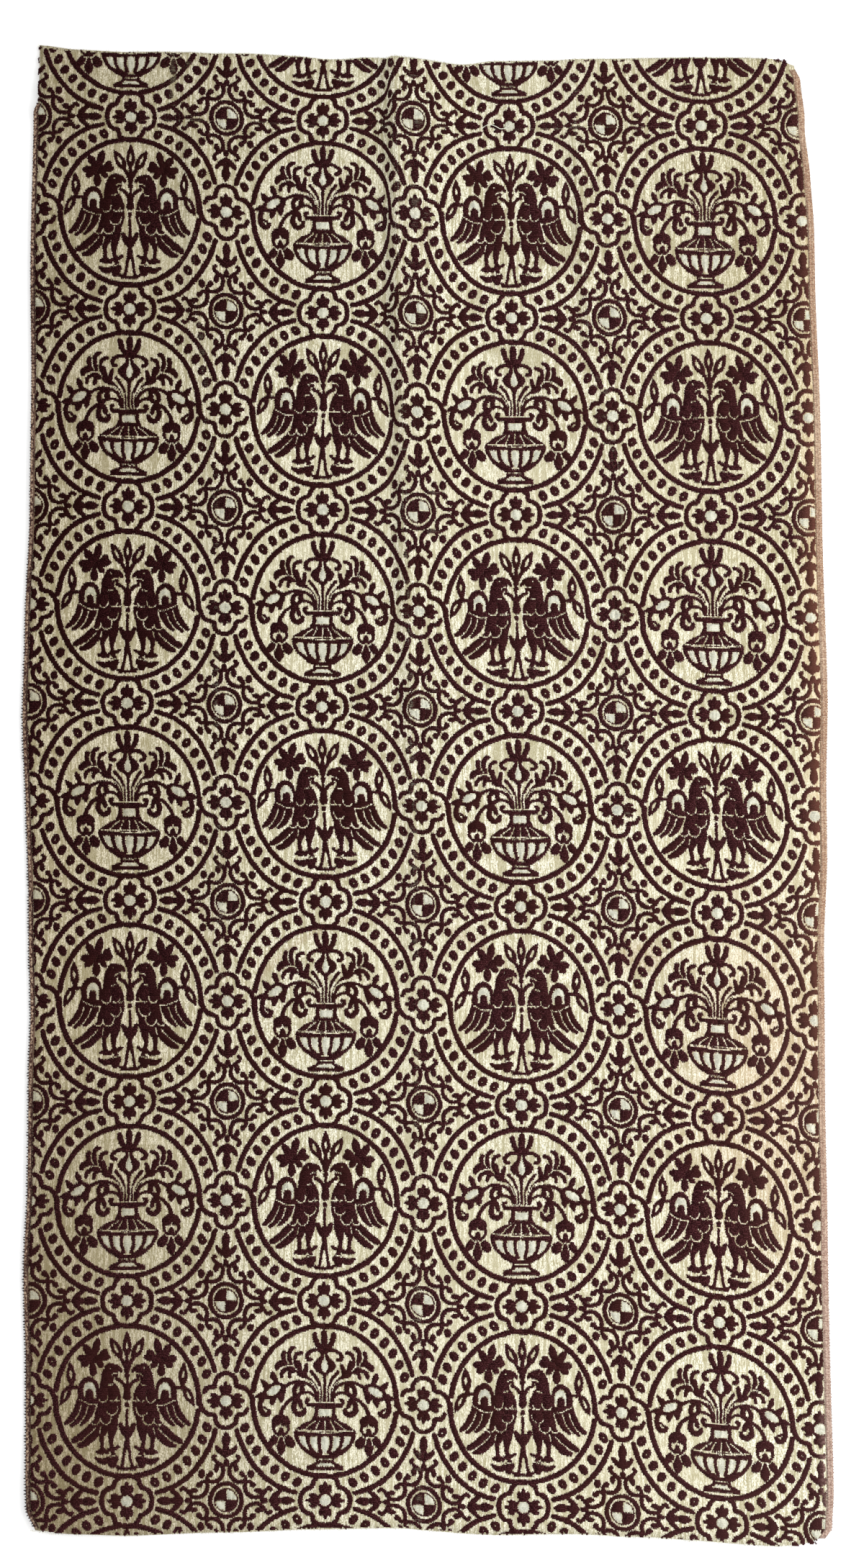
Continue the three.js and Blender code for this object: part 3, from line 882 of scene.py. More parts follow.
def draw_bell_flower(pen):
    pen.blob(BELL, -13.9, 6.0, 4.7)
    pen.blob(BELL, -18.0, 5.9, 6.2)
    pen.blob(BELL, -18.6, 4.2, 3.7, layer="light")
    pen.stroke([(BELL, -23.6, 2.0), (BELL, -20.0, 1.6), (BELL, -18.6, 0.8)])
    pen.stroke([(BELL - 3.6, -24.2, 1.6), (BELL - 5.8, -27.8, 3.0), (BELL - 6.6, -29.0, 2.6)])
    pen.stroke([(BELL + 3.4, -24.2, 1.8), (BELL + 5.2, -27.0, 2.5), (BELL + 6.9, -29.2, 1.6)])
    pen.leaf((BELL, -24.4), (BELL, -36.6), 2.9, fat=0.6)
    for side in (-1, 1):
        pen.stroke([(BELL + side * 3.6, -16.2, 0.7), (BELL + side * 1.4, -15.8, 0.8)], curved=False)
    fine_lines(pen, [[(BELL + x, y) for x, y in line] for line in BELL_LINES])


def draw_charts():
    """The repeat with birds and the repeat with the vase, which share everything between roundels."""
    common = Chart()
    draw_rings(common)
    draw_pearls(common)
    draw_link(common, (0.0, REPEAT_DOWN / 2), UPPER_LINK)
    draw_link(common, (REPEAT_ACROSS / 2, 0.0), SIDE_LINK)
    draw_medallion(common, (REPEAT_ACROSS / 2, REPEAT_DOWN / 2))
    birds, vase = Chart(common), Chart(common)
    draw_bird_roundel(birds)
    draw_vase_roundel(vase)
    return birds, vase


# The pattern over the cloth

class Wander:
    """Small wandering of the yarns, which differs from repeat to repeat."""

    SPARE = 150

    def __init__(self, seed):
        maker = np.random.default_rng(seed)
        # cell size, reach across, reach down
        self.parts = []
        for cell, reach_across, reach_down in ((4.5, 0.26, 0.24), (40.0, 0.35, 0.45)):
            rows = int((CUT_LENGTH + 2 * self.SPARE) / cell) + 3
            columns = int((LOOM_WIDTH + 2 * self.SPARE) / cell) + 3
            shape = (rows, columns, 2)
            grid = maker.uniform(-1, 1, shape) * (reach_across, reach_down)
            self.parts.append((cell, grid))

    def shift(self, places):
        total = np.zeros_like(places)
        for cell, grid in self.parts:
            column = (places[:, 0] + self.SPARE) / cell
            row = (places[:, 1] + self.SPARE) / cell
            j, i = column.astype(int), row.astype(int)
            fx, fy = smooth(column - j)[:, None], smooth(row - i)[:, None]
            upper = grid[i, j] * (1 - fx) + grid[i, j + 1] * fx
            lower = grid[i + 1, j] * (1 - fx) + grid[i + 1, j + 1] * fx
            total += upper * (1 - fy) + lower * fy
        return total


class Pattern:
    """The pattern over the whole cloth."""

    def __init__(self, seed):
        self.charts = draw_charts()
        self.wander = Wander(seed)

    def kind(self, column, row):
        return (column + row) % 2

    def distance(self, layer, places):
        """Distance to the yarn's edge at places that already wander, below nought inside it."""
        flat = places - self.wander.shift(places)
        column = np.floor((flat[:, 0] - FIRST_ROUNDEL[0]) / REPEAT_ACROSS + 0.5).astype(int)
        row = np.floor((flat[:, 1] - FIRST_ROUNDEL[1]) / REPEAT_DOWN + 0.5).astype(int)
        across = flat[:, 0] - FIRST_ROUNDEL[0] - column * REPEAT_ACROSS
        up = FIRST_ROUNDEL[1] + row * REPEAT_DOWN - flat[:, 1]
        kinds = self.kind(column, row)
        found = np.zeros(len(places))
        for kind, chart in enumerate(self.charts):
            here = kinds == kind
            found[here] = chart.read(layer, across[here], up[here])
        return found


# Meshes

def mesh_object(name, points, faces, materials, cloth_places=None, crown=None):
    """A mesh from points in millimetres.

    Its UV map holds the places on the flat cloth, and crown tells the top of a yarn from its sides.
    """
    mesh = bpy.data.meshes.new(name)
    faces = np.asarray(faces, np.int32)
    mesh.vertices.add(len(points))
    mesh.vertices.foreach_set("co", (np.asarray(points) * MM).astype(np.float32).ravel())
    mesh.loops.add(faces.size)
    mesh.loops.foreach_set("vertex_index", faces.ravel())
    mesh.polygons.add(len(faces))
    mesh.polygons.foreach_set("loop_start", np.arange(0, faces.size, faces.shape[1], dtype=np.int32))
    mesh.polygons.foreach_set("use_smooth", np.full(len(faces), True))
    for material in materials:
        mesh.materials.append(material)
    if crown is not None:
        heights = mesh.attributes.new(CROWN, "FLOAT", "POINT")
        heights.data.foreach_set("value", np.asarray(crown, np.float32))
    if cloth_places is not None:
        layer = mesh.uv_layers.new(name=CLOTH_UV)
        corners = np.asarray(cloth_places)[faces.ravel()] * MM
        layer.data.foreach_set("uv", corners.astype(np.float32).ravel())
    mesh.update()
    mesh.validate()
    made = bpy.data.objects.new(name, mesh)
    bpy.context.scene.collection.objects.link(made)
    return made


def places_between(breaks):
    """Places along one side of a grid. Each row of breaks is start and step, the last is the end."""
    places = []
    for (start, step), (end, _) in zip(breaks[:-1], breaks[1:]):
        count = max(1, round((end - start) / step))
        places.extend(start + (end - start) * k / count for k in range(count))
    places.append(breaks[-1][0])
    return np.array(places, float)


def closed_sheet(cloth, places, foot, top):
    """Points, flat places and faces of a closed sheet over a grid of flat places."""
    rows, columns = places.shape[:2]
    flat = places.reshape(-1, 2)
    upper = cloth.at(flat[:, 0], flat[:, 1], np.full(len(flat), top))
    under = cloth.at(flat[:, 0], flat[:, 1], np.full(len(flat), foot))
    count = len(flat)
    index = np.arange(count).reshape(rows, columns)
    a, b, c, d = index[:-1, :-1], index[:-1, 1:], index[1:, 1:], index[1:, :-1]
    top_faces = np.stack([a, d, c, b], axis=-1).reshape(-1, 4)
    under_faces = np.stack([a, b, c, d], axis=-1).reshape(-1, 4) + count
    ring = np.concatenate([index[0, :], index[1:, -1], index[-1, -2::-1], index[-2:0:-1, 0]])
    following = np.roll(ring, -1)
    walls = np.stack([ring, following, following + count, ring + count], axis=-1)
    return np.vstack([upper, under]), np.vstack([flat, flat]), np.vstack([top_faces, under_faces, walls])


# Ground cloth

GROUND_COLUMNS = (
    (EDGE_LOOPS, 7), (98, 2.6), (152, 7), (240, 2), (276, 3.2), (324, 7), (368, 2.6), (430, 7),
    (LOOM_WIDTH - EDGE_LOOPS, 7),
)
GROUND_ROWS = ((0, 3), (60, 8), (1008, 8))


def make_ground(cloth, sizes, material):
    across, down = np.meshgrid(places_between(GROUND_COLUMNS), places_between(GROUND_ROWS))
    places = np.stack(edge_place(across, down), axis=-1)
    points, flat, faces = closed_sheet(cloth, places, 0.0, sizes.ground_thickness / MM)
    return mesh_object("ground_cloth", points, faces, [material], flat)


# Raised figure

def in_outline(places, end):
    """Keeps places inside the cloth, and further than a margin from its cut ends."""
    across, down = places[:, 0], places[:, 1]
    left_line = along(LEFT_EDGE, down)
    right_line = LOOM_WIDTH - along(RIGHT_EDGE, down)
    top_line = along(TOP_EDGE, across) + end
    bottom_line = CUT_LENGTH - along(BOTTOM_EDGE, across) - end
    return (across > left_line) & (across < right_line) & (down > top_line) & (down < bottom_line)


def past_border(across, down):
    """Distance to the nearest line where the pattern stops, below nought inside them."""
    left_margin = np.where(down < LEFT_SELVEDGE_FROM, 0.3, LEFT_SELVEDGE)
    left = along(LEFT_EDGE, down) + left_margin - across
    right = across - (LOOM_WIDTH - along(RIGHT_EDGE, down) - RIGHT_SELVEDGE)
    ragged = 0.6 + 0.6 * np.sin(1.9 * across) * np.sin(0.37 * across + 0.8)
    top = along(TOP_EDGE, across) + ragged - down
    bottom = down - (CUT_LENGTH - along(BOTTOM_EDGE, across) - ragged)
    return np.maximum(np.maximum(left, right), np.maximum(top, bottom))


def weft_floats(pattern, layer, picks, maker):
    """Stretches where a weft lies on the face: start, end and place down the cloth."""
    step = WARP / 4
    columns = np.arange(-4 * WARP, LOOM_WIDTH + 4 * WARP, step)
    across, down = [part.ravel() for part in np.meshgrid(columns, picks)]
    # each warp end presses the weft up or down a little, so an edge along the weft is toothed
    pressed = down + TEETH * np.cos(2 * math.pi * across / WARP)
    places = np.stack([across, pressed], axis=-1)
    past = pattern.distance("dark", places) - SWELL
    if layer != "dark":
        # this yarn shows only beside the dark one
        past = np.maximum(pattern.distance(layer, places), 0.3 - past)
    past = np.maximum(past, past_border(across, down)).reshape(len(picks), len(columns))
    past[:, [0, -1]] = 1.0
    row, column = np.nonzero(np.diff(past < 0, axis=1))
    here, there = past[row, column], past[row, column + 1]
    turns = columns[column] + step * here / (here - there)
    start, end, row = turns[::2], turns[1::2], row[::2]
    side = np.where(row % 2 == 0, 0.08, -0.08)
    start = start + side + maker.uniform(-0.28, 0.28, len(row))
    end = end + side + maker.uniform(-0.28, 0.28, len(row))
    keep = end - start > 0.4
    return start[keep], end[keep], picks[row[keep]]


def held_down(cloth, start, end, down):
    """Parts long wefts, and wefts that cross a crease, so that each part is nearly straight."""
    middle = (start + end) / 2
    bend = cloth.bend(middle, down)
    reach = np.minimum(LONGEST_FLOAT, np.sqrt(1.2 / np.maximum(bend, 1e-4)))
    parts = np.maximum(1, np.ceil((end - start) / reach)).astype(int)
    which = np.repeat(np.arange(len(start)), parts)
    first = np.concatenate([[0], np.cumsum(parts)[:-1]])
    number = np.arange(len(which)) - first[which]
    length = (end - start)[which] / parts[which]
    begun = start[which] + number * length
    return begun, begun + length, down[which]


def roof_over(cloth, start, end, down, foot, top):
    """One low roof for each part of a weft: four corners at its foot and two on its ridge."""
    hip = np.minimum(0.24, (end - start) / 3)
    corners = (
        (start - 0.06, -HALF_WEFT, foot), (start - 0.06, HALF_WEFT, foot), (end + 0.06, HALF_WEFT, foot),
        (end + 0.06, -HALF_WEFT, foot), (start + hip, 0.0, top), (end - hip, 0.0, top),
    )
    across = np.stack([corner[0] for corner in corners], axis=1).ravel()
    below = np.stack([down + corner[1] for corner in corners], axis=1).ravel()
    height = np.stack([np.broadcast_to(corner[2], down.shape) for corner in corners], axis=1).ravel()
    points = cloth.at(across, below, height)
    roof = np.array([
        (0, 1, 4), (1, 2, 5), (1, 5, 4), (2, 3, 5), (3, 0, 4), (3, 4, 5), (0, 3, 2), (0, 2, 1),
    ])
    faces = (np.arange(len(start))[:, None, None] * 6 + roof).reshape(-1, 3)
    return points, np.stack([across, below], axis=-1), faces


def make_wefts(cloth, pattern, name, layer, picks, heights, maker, material):
    start, end, down = held_down(cloth, *weft_floats(pattern, layer, picks, maker))
    foot, top = heights
    tops = top + maker.uniform(-0.05, 0.05, len(start))
    points, flat, faces = roof_over(cloth, start, end, down, foot, tops)
    crown = np.tile([0.0, 0.0, 0.0, 0.0, 1.0, 1.0], len(start))
    return mesh_object(name, points, faces, [material], flat, crown)


def make_figure(cloth, pattern, sizes, material):
    """The dark figure, weft by weft, in bands from the top of the cloth to the bottom."""
    picks = np.arange(-8.0, CUT_LENGTH + 8.0, PICK)
    heights = (FIGURE_FOOT, sizes.figure_height / MM)
    maker = np.random.default_rng(sizes.seed)
    made = []
    for k, band in enumerate(np.array_split(picks, FIGURE_BANDS)):
        name = f"figure_band_{k + 1}"
        made.append(make_wefts(cloth, pattern, name, "dark", band, heights, maker, material))
    return made


def make_silver(cloth, pattern, sizes, material):
    picks = np.arange(-8.0, CUT_LENGTH + 8.0, PICK) + PICK / 2
    maker = np.random.default_rng(sizes.seed + 1)
    heights = (SILVER_FOOT, SILVER_TOP)
    return make_wefts(cloth, pattern, "silver_patches", "silver", picks, heights, maker, material)


# Selvedges, weft loops and cut ends

def make_strip(cloth, name, side, near, far, start, material, top=SELVEDGE_TOP):
    """A narrow raised strip along one selvedge, between two distances from the cloth's edge."""
    down = places_between(((start, 3), (CUT_LENGTH - 1.5, 3)))
    rows = []
    for distance in np.linspace(near, far, 4):
        if side == "left":
            rows.append(np.stack([along(LEFT_EDGE, down) + distance, down], axis=-1))
        else:
            rows.append(np.stack([LOOM_WIDTH - along(RIGHT_EDGE, down) - distance, down], axis=-1))
    if side == "right":
        rows.reverse()
    places = np.stack(rows, axis=1)
    keep = np.array([in_outline(row, end=1.0).any() for row in places])
    points, flat, faces = closed_sheet(cloth, places[keep], FIGURE_FOOT, top)
    return mesh_object(name, points, faces, [material], flat)


def make_path(cloth, name, places, height, size):
    """A line of points on the cloth that carries small yarns, each with its own size."""
    points = cloth.at(places[:, 0], places[:, 1], np.full(len(places), height))
    mesh = bpy.data.meshes.new(name)
    edges = [(k, k + 1) for k in range(len(points) - 1)]
    mesh.from_pydata([tuple(point) for point in points * MM], edges, [])
    reach = mesh.attributes.new("reach", "FLOAT", "POINT")
    reach.data.foreach_set("value", size.astype(np.float32))
    made = bpy.data.objects.new(name, mesh)
    bpy.context.scene.collection.objects.link(made)
    return made


class YarnTree:
    """A geometry nodes tree that sets one small yarn after another along a line."""

    def __init__(self, name):
        self.tree = bpy.data.node_groups.new(name, "GeometryNodeTree")
        face = self.tree.interface
        face.new_socket("Geometry", in_out="INPUT", socket_type="NodeSocketGeometry")
        face.new_socket("Geometry", in_out="OUTPUT", socket_type="NodeSocketGeometry")
        self.sockets = {}
        for label, kind in (("Spacing", "NodeSocketFloat"), ("Reach", "NodeSocketFloat"),
                            ("Yarn radius", "NodeSocketFloat"), ("Seed", "NodeSocketInt"),
                            ("Material", "NodeSocketMaterial")):
            self.sockets[label] = face.new_socket(label, in_out="INPUT", socket_type=kind)
        self.start = self.node("NodeGroupInput")
        self.end = self.node("NodeGroupOutput")

    def node(self, kind, **settings):
        made = self.tree.nodes.new(kind)
        for setting, value in settings.items():
            setattr(made, setting, value)
        return made

    def link(self, output, socket):
        self.tree.links.new(output, socket)

    def number(self, operation, a, b=None):
        made = self.node("ShaderNodeMath", operation=operation)
        for socket, value in zip(made.inputs, (a, b)):
            if isinstance(value, bpy.types.NodeSocket):
                self.link(value, socket)
            elif value is not None:
                socket.default_value = value
        return made.outputs[0]

    def random(self, low, high, salt):
        made = self.node("FunctionNodeRandomValue", data_type="FLOAT")
        made.inputs[2].default_value = low
        made.inputs[3].default_value = high
        self.link(self.number("ADD", self.start.outputs["Seed"], salt), made.inputs["Seed"])
        return made.outputs[1]

    def vector(self, x=0.0, y=0.0, z=0.0):
        made = self.node("ShaderNodeCombineXYZ")
        for socket, value in zip(made.inputs, (x, y, z)):
            if isinstance(value, bpy.types.NodeSocket):
                self.link(value, socket)
            else:
                socket.default_value = value
        return made.outputs[0]

    def tube(self, curve, sides):
        profile = self.node("GeometryNodeCurvePrimitiveCircle")
        profile.inputs["Resolution"].default_value = sides
        self.link(self.start.outputs["Yarn radius"], profile.inputs["Radius"])
        mesh = self.node("GeometryNodeCurveToMesh")
        mesh.inputs["Fill Caps"].default_value = True
        self.link(curve, mesh.inputs["Curve"])
        self.link(profile.outputs[0], mesh.inputs["Profile Curve"])
        return mesh.outputs[0]

    def set_along(self, yarn, turn, small, large):
        """Sets the yarn along the line, square to it, and realises it in its material."""
        curve = self.node("GeometryNodeMeshToCurve")
        self.link(self.start.outputs["Geometry"], curve.inputs["Mesh"])
        spaced = self.node("GeometryNodeResampleCurve")
        if "Mode" in spaced.inputs:
            spaced.inputs["Mode"].default_value = "Length"
        else:
            spaced.mode = "LENGTH"
        self.link(curve.outputs[0], spaced.inputs["Curve"])
        self.link(self.start.outputs["Spacing"], spaced.inputs["Length"])
        points = self.node("GeometryNodeCurveToPoints", mode="EVALUATED")
        self.link(spaced.outputs[0], points.inputs["Curve"])
        align = self.node("FunctionNodeAlignRotationToVector", axis="X")
        self.link(points.outputs["Tangent"], align.inputs["Vector"])
        spin = self.node("FunctionNodeRotateRotation", rotation_space="LOCAL")
        self.link(align.outputs[0], spin.inputs["Rotation"])
        tilt = self.node("FunctionNodeEulerToRotation")
        angles = self.vector(self.random(-0.15, 0.25, 11), 0.0, self.random(-turn, turn, 23))
        self.link(angles, tilt.inputs["Euler"])
        self.link(tilt.outputs[0], spin.inputs["Rotate By"])
        reach = self.node("GeometryNodeInputNamedAttribute", data_type="FLOAT")
        reach.inputs["Name"].default_value = "reach"
        size = self.number("MULTIPLY", self.random(small, large, 37), reach.outputs["Attribute"])
        width = self.random(0.8, 1.15, 41)
        put = self.node("GeometryNodeInstanceOnPoints")
        self.link(points.outputs["Points"], put.inputs["Points"])
        self.link(yarn, put.inputs["Instance"])
        self.link(spin.outputs[0], put.inputs["Rotation"])
        self.link(self.vector(width, size, width), put.inputs["Scale"])
        real = self.node("GeometryNodeRealizeInstances")
        self.link(put.outputs[0], real.inputs[0])
        coat = self.node("GeometryNodeSetMaterial")
        self.link(real.outputs[0], coat.inputs["Geometry"])
        self.link(self.start.outputs["Material"], coat.inputs["Material"])
        self.link(coat.outputs[0], self.end.inputs[0])

    def grow(self, path, name, **values):
        """Runs the tree on a line and gives back a plain mesh object."""
        modifier = path.modifiers.new("yarns", "NODES")
        modifier.node_group = self.tree
        for label, value in values.items():
            modifier[self.sockets[label.replace("_", " ")].identifier] = value
        graph = bpy.context.evaluated_depsgraph_get()
        mesh = bpy.data.meshes.new_from_object(path.evaluated_get(graph))
        path.modifiers.remove(modifier)
        # the yarn lies on the surface under the cloth and doesn't go into it
        places = np.zeros(len(mesh.vertices) * 3, np.float32)
        mesh.vertices.foreach_get("co", places)
        places[2::3] = np.maximum(places[2::3], 0.03 * MM)
        mesh.vertices.foreach_set("co", places)
        mesh.update()
        made = bpy.data.objects.new(name, mesh)
        mesh.name = name
        bpy.context.scene.collection.objects.link(made)
        old = path.data
        bpy.data.objects.remove(path)
        bpy.data.meshes.remove(old)
        return made


def weft_loop_tree():
    """Small round loops of weft that turn at a selvedge."""
    tree = YarnTree("weft_loops")
    bend = tree.node("GeometryNodeCurveQuadraticBezier")
    bend.inputs["Resolution"].default_value = 4
    reach = tree.start.outputs["Reach"]
    bend.inputs["Start"].default_value = (-0.00034, -0.0008, 0.0)
    tree.link(tree.vector(0.0003, tree.number("MULTIPLY", reach, 1.7), 0.0), bend.inputs["Middle"])
    bend.inputs["End"].default_value = (0.0002, -0.0008, 0.0)
    tree.set_along(tree.tube(bend.outputs[0], 5), 0.3, 0.75, 1.2)
    return tree


def warp_end_tree():
    """Short warp ends that stick out of a cut end."""
    tree = YarnTree("warp_ends")
    bend = tree.node("GeometryNodeCurveQuadraticBezier")
    bend.inputs["Resolution"].default_value = 3
    reach = tree.start.outputs["Reach"]
    bend.inputs["Start"].default_value = (0.0, -0.001, 0.0)
    tree.link(tree.vector(0.0002, tree.number("MULTIPLY", reach, 0.5), 0.0), bend.inputs["Middle"])
    tree.link(tree.vector(-0.0002, reach, -0.0001), bend.inputs["End"])
    tree.set_along(tree.tube(bend.outputs[0], 4), 0.45, 0.1, 0.75)
    return tree


def side_path(side):
    """Places along a selvedge. They run up on the left and down on the right, so loops point outwards."""
    first, short = (LEFT_SELVEDGE_FROM, 4.0) if side == "left" else (8.0, 20.0)
    down = np.arange(first, CUT_LENGTH - short, 2.0)
    if side == "left":
        down = down[::-1]
        across = along(LEFT_EDGE, down) + EDGE_LOOPS
    else:
        across = LOOM_WIDTH - along(RIGHT_EDGE, down) - EDGE_LOOPS
    return np.stack([across, down], axis=-1)


def end_path(end):
    across = np.arange(6.0, LOOM_WIDTH - 26.0, 2.0)
    if end == "top":
        return np.stack([across, along(TOP_EDGE, across)], axis=-1)
    across = across[::-1]
    return np.stack([across, CUT_LENGTH - along(BOTTOM_EDGE, across)], axis=-1)


def make_weft_loops(cloth, sizes, finishes):
    tree = weft_loop_tree()
    made = []
    for side in ("left", "right"):
        places = side_path(side)
        # the loops are flatter near the top of the left side and short on the right
        low, high = (0.5, 1.15) if side == "left" else (0.38, 0.55)
        size = low + (high - low) * smooth((places[:, 1] - 150) / 350)
        path = make_path(cloth, f"{side}_loop_line", places, 0.75, size)
        loops = tree.grow(path, f"{side}_weft_loops", Spacing=sizes.loop_spacing, Reach=sizes.loop_reach,
                          Yarn_radius=sizes.loop_yarn, Seed=sizes.seed, Material=finishes[side])
        made.append(loops)
    return made


def make_warp_ends(cloth, sizes, finish):
    tree = warp_end_tree()
    made = []
    for end in ("top", "bottom"):
        places = end_path(end)
        size = np.ones(len(places))
        path = make_path(cloth, f"{end}_end_line", places, 0.6, size)
        made.append(tree.grow(path, f"{end}_warp_ends", Spacing=sizes.fray_spacing, Reach=sizes.fray_length,
                              Yarn_radius=0.22 * MM, Seed=sizes.seed + 3, Material=finish))
    return made


# The loose thread lies on a link near the top: across, down, height over the underside
LOOSE_THREAD = (
    (315.5, 50.5, 2.2), (318.0, 48.2, 2.5), (321.5, 47.4, 2.8), (325.0, 48.6, 2.6), (328.0, 50.4, 2.4),
    (331.0, 50.2, 2.6), (333.6, 48.4, 2.9), (335.4, 46.6, 2.6), (335.0, 45.2, 2.3), (333.2, 45.6, 2.2),
)


def make_loose_thread(cloth, material):
    rows = smooth_line(np.array(LOOSE_THREAD, float), 4)
    middles = cloth.at(rows[:, 0], rows[:, 1], rows[:, 2])
    sides = 6
    points = []
    for k, middle in enumerate(middles):
        way = middles[min(k + 1, len(middles) - 1)] - middles[max(k - 1, 0)]
        way /= np.linalg.norm(way)
        aside = np.cross(way, (0.0, 0.0, 1.0))
        aside /= np.linalg.norm(aside)
        above = np.cross(aside, way)
        for j in range(sides):
            turn = 2 * math.pi * j / sides
            points.append(middle + 0.24 * (math.cos(turn) * aside + math.sin(turn) * above))
    faces = []
    for k in range(len(middles) - 1):
        for j in range(sides):
            a, b = k * sides + j, k * sides + (j + 1) % sides
            faces.append((a, b, b + sides))
            faces.append((a, b + sides, a + sides))
    last = (len(middles) - 1) * sides
    for j in range(1, sides - 1):
        faces.append((0, j + 1, j))
        faces.append((last, last + j, last + j + 1))
    places = np.repeat(rows[:, :2], sides, axis=0)
    return mesh_object("loose_thread", np.array(points), faces, [material], places)


# Materials

class Dye:
    """Builds the nodes of one cloth material."""

    def __init__(self, name, roughness, sheen):
        self.material = bpy.data.materials.new(name)
        self.material.use_nodes = True
        self.tree = self.material.node_tree
        self.tree.nodes.clear()
        self.output = self.tree.nodes.new("ShaderNodeOutputMaterial")
        self.shader = self.tree.nodes.new("ShaderNodeBsdfPrincipled")
        self.shader.inputs["Roughness"].default_value = roughness
        self.shader.inputs["Sheen Weight"].default_value = sheen
        self.shader.inputs["Sheen Roughness"].default_value = 0.45
        self.shader.inputs["Specular IOR Level"].default_value = 0.15
        self.tree.links.new(self.shader.outputs["BSDF"], self.output.inputs["Surface"])
        self.places = self.tree.nodes.new("ShaderNodeUVMap")
        self.places.uv_map = CLOTH_UV

    def put(self, socket, value):
        if isinstance(value, bpy.types.NodeSocket):
            self.tree.links.new(value, socket)
        elif isinstance(value, (tuple, list)) and socket.type == "RGBA":
            socket.default_value = (*value[:3], 1.0)
        else:
            socket.default_value = value

    def stretched(self, across, down):
        """Places on the flat cloth, scaled each way."""
        node = self.tree.nodes.new("ShaderNodeMapping")
        self.put(node.inputs["Vector"], self.places.outputs["UV"])
        node.inputs["Scale"].default_value = (across, down, 1.0)
        return node.outputs["Vector"]

    def noise(self, across, down, detail=2.0, rough=0.5):
        node = self.tree.nodes.new("ShaderNodeTexNoise")
        node.noise_dimensions = "2D"
        self.put(node.inputs["Vector"], self.stretched(across, down))
        node.inputs["Scale"].default_value = 1.0
        node.inputs["Detail"].default_value = detail
        node.inputs["Roughness"].default_value = rough
        return node.outputs["Fac"]

    def crown(self):
        """One along the top of a yarn, and nought where it dips between its neighbours."""
        node = self.tree.nodes.new("ShaderNodeAttribute")
        node.attribute_name = CROWN
        return node.outputs["Fac"]

    def ribs(self, count, way="X"):
        """Even ribs, so many for each metre, side by side across the cloth or down it."""
        node = self.tree.nodes.new("ShaderNodeTexWave")
        node.wave_type = "BANDS"
        node.bands_direction = way
        self.put(node.inputs["Vector"], self.stretched(count * math.pi / 10, count * math.pi / 10))
        node.inputs["Scale"].default_value = 1.0
        node.inputs["Distortion"].default_value = 0.0
        return node.outputs["Fac"]

    def sum(self, *parts):
        total = parts[0]
        for part in parts[1:]:
            total = self.count("ADD", total, part)
        return total

    def count(self, operation, a, b=0.0, clamped=False):
        node = self.tree.nodes.new("ShaderNodeMath")
        node.operation = operation
        node.use_clamp = clamped
        self.put(node.inputs[0], a)
        self.put(node.inputs[1], b)
        return node.outputs[0]

    def fade(self, value, start, end, low=0.0, high=1.0):
        node = self.tree.nodes.new("ShaderNodeMapRange")
        node.interpolation_type = "SMOOTHSTEP"
        self.put(node.inputs["Value"], value)
        node.inputs["From Min"].default_value = start
        node.inputs["From Max"].default_value = end
        node.inputs["To Min"].default_value = low
        node.inputs["To Max"].default_value = high
        return node.outputs["Result"]

    def blend(self, share, one, other, way="MIX"):
        node = self.tree.nodes.new("ShaderNodeMix")
        node.data_type = "RGBA"
        node.blend_type = way
        self.put(node.inputs["Factor"], share)
        self.put(node.inputs[6], one)
        self.put(node.inputs[7], other)
        return node.outputs[2]

    def away(self, across, down, reach_across, reach_down):
        """Distance from the middle of an oval on the flat cloth: one on its edge, sizes in metres."""
        node = self.tree.nodes.new("ShaderNodeMapping")
        self.put(node.inputs["Vector"], self.places.outputs["UV"])
        node.inputs["Location"].default_value = (-across / reach_across, -down / reach_down, 0.0)
        node.inputs["Scale"].default_value = (1.0 / reach_across, 1.0 / reach_down, 1.0)
        length = self.tree.nodes.new("ShaderNodeVectorMath")
        length.operation = "LENGTH"
        self.put(length.inputs[0], node.outputs["Vector"])
        return length.outputs["Value"]

    def spot(self, across, down, reach_across, reach_down, soft=0.45, share=1.0):
        """A soft oval on the flat cloth."""
        away = self.away(across, down, reach_across, reach_down)
        return self.fade(away, 1.0, 1.0 - soft, 0.0, share)

    def ring(self, across, down, radius, width, share):
        """The upper half of a faint ring on the flat cloth."""
        away = self.count("SUBTRACT", self.away(across, down, radius, radius), 1.0)
        line = self.fade(self.count("ABSOLUTE", away), 0.0, width / radius, share, 0.0)
        upper = self.spot(across, down - radius, radius * 1.1, radius * 0.9, 0.3)
        return self.count("MULTIPLY", line, upper)

    def finish(self, colour, height=None, rise=0.0002, rough=None):
        self.put(self.shader.inputs["Base Color"], colour)
        if height is not None:
            bump = self.tree.nodes.new("ShaderNodeBump")
            bump.inputs["Strength"].default_value = 1.0
            bump.inputs["Distance"].default_value = rise
            self.put(bump.inputs["Height"], height)
            self.put(self.shader.inputs["Normal"], bump.outputs["Normal"])
        if rough is not None:
            self.put(self.shader.inputs["Roughness"], rough)
        return self.material


# The faint ring left by a drop: across, down, radius, width, in metres
FAINT_RING = (0.245, 0.705, 0.112, 0.004)


def lighter(colour, share):
    return tuple(min(1.0, channel * share) for channel in colour)


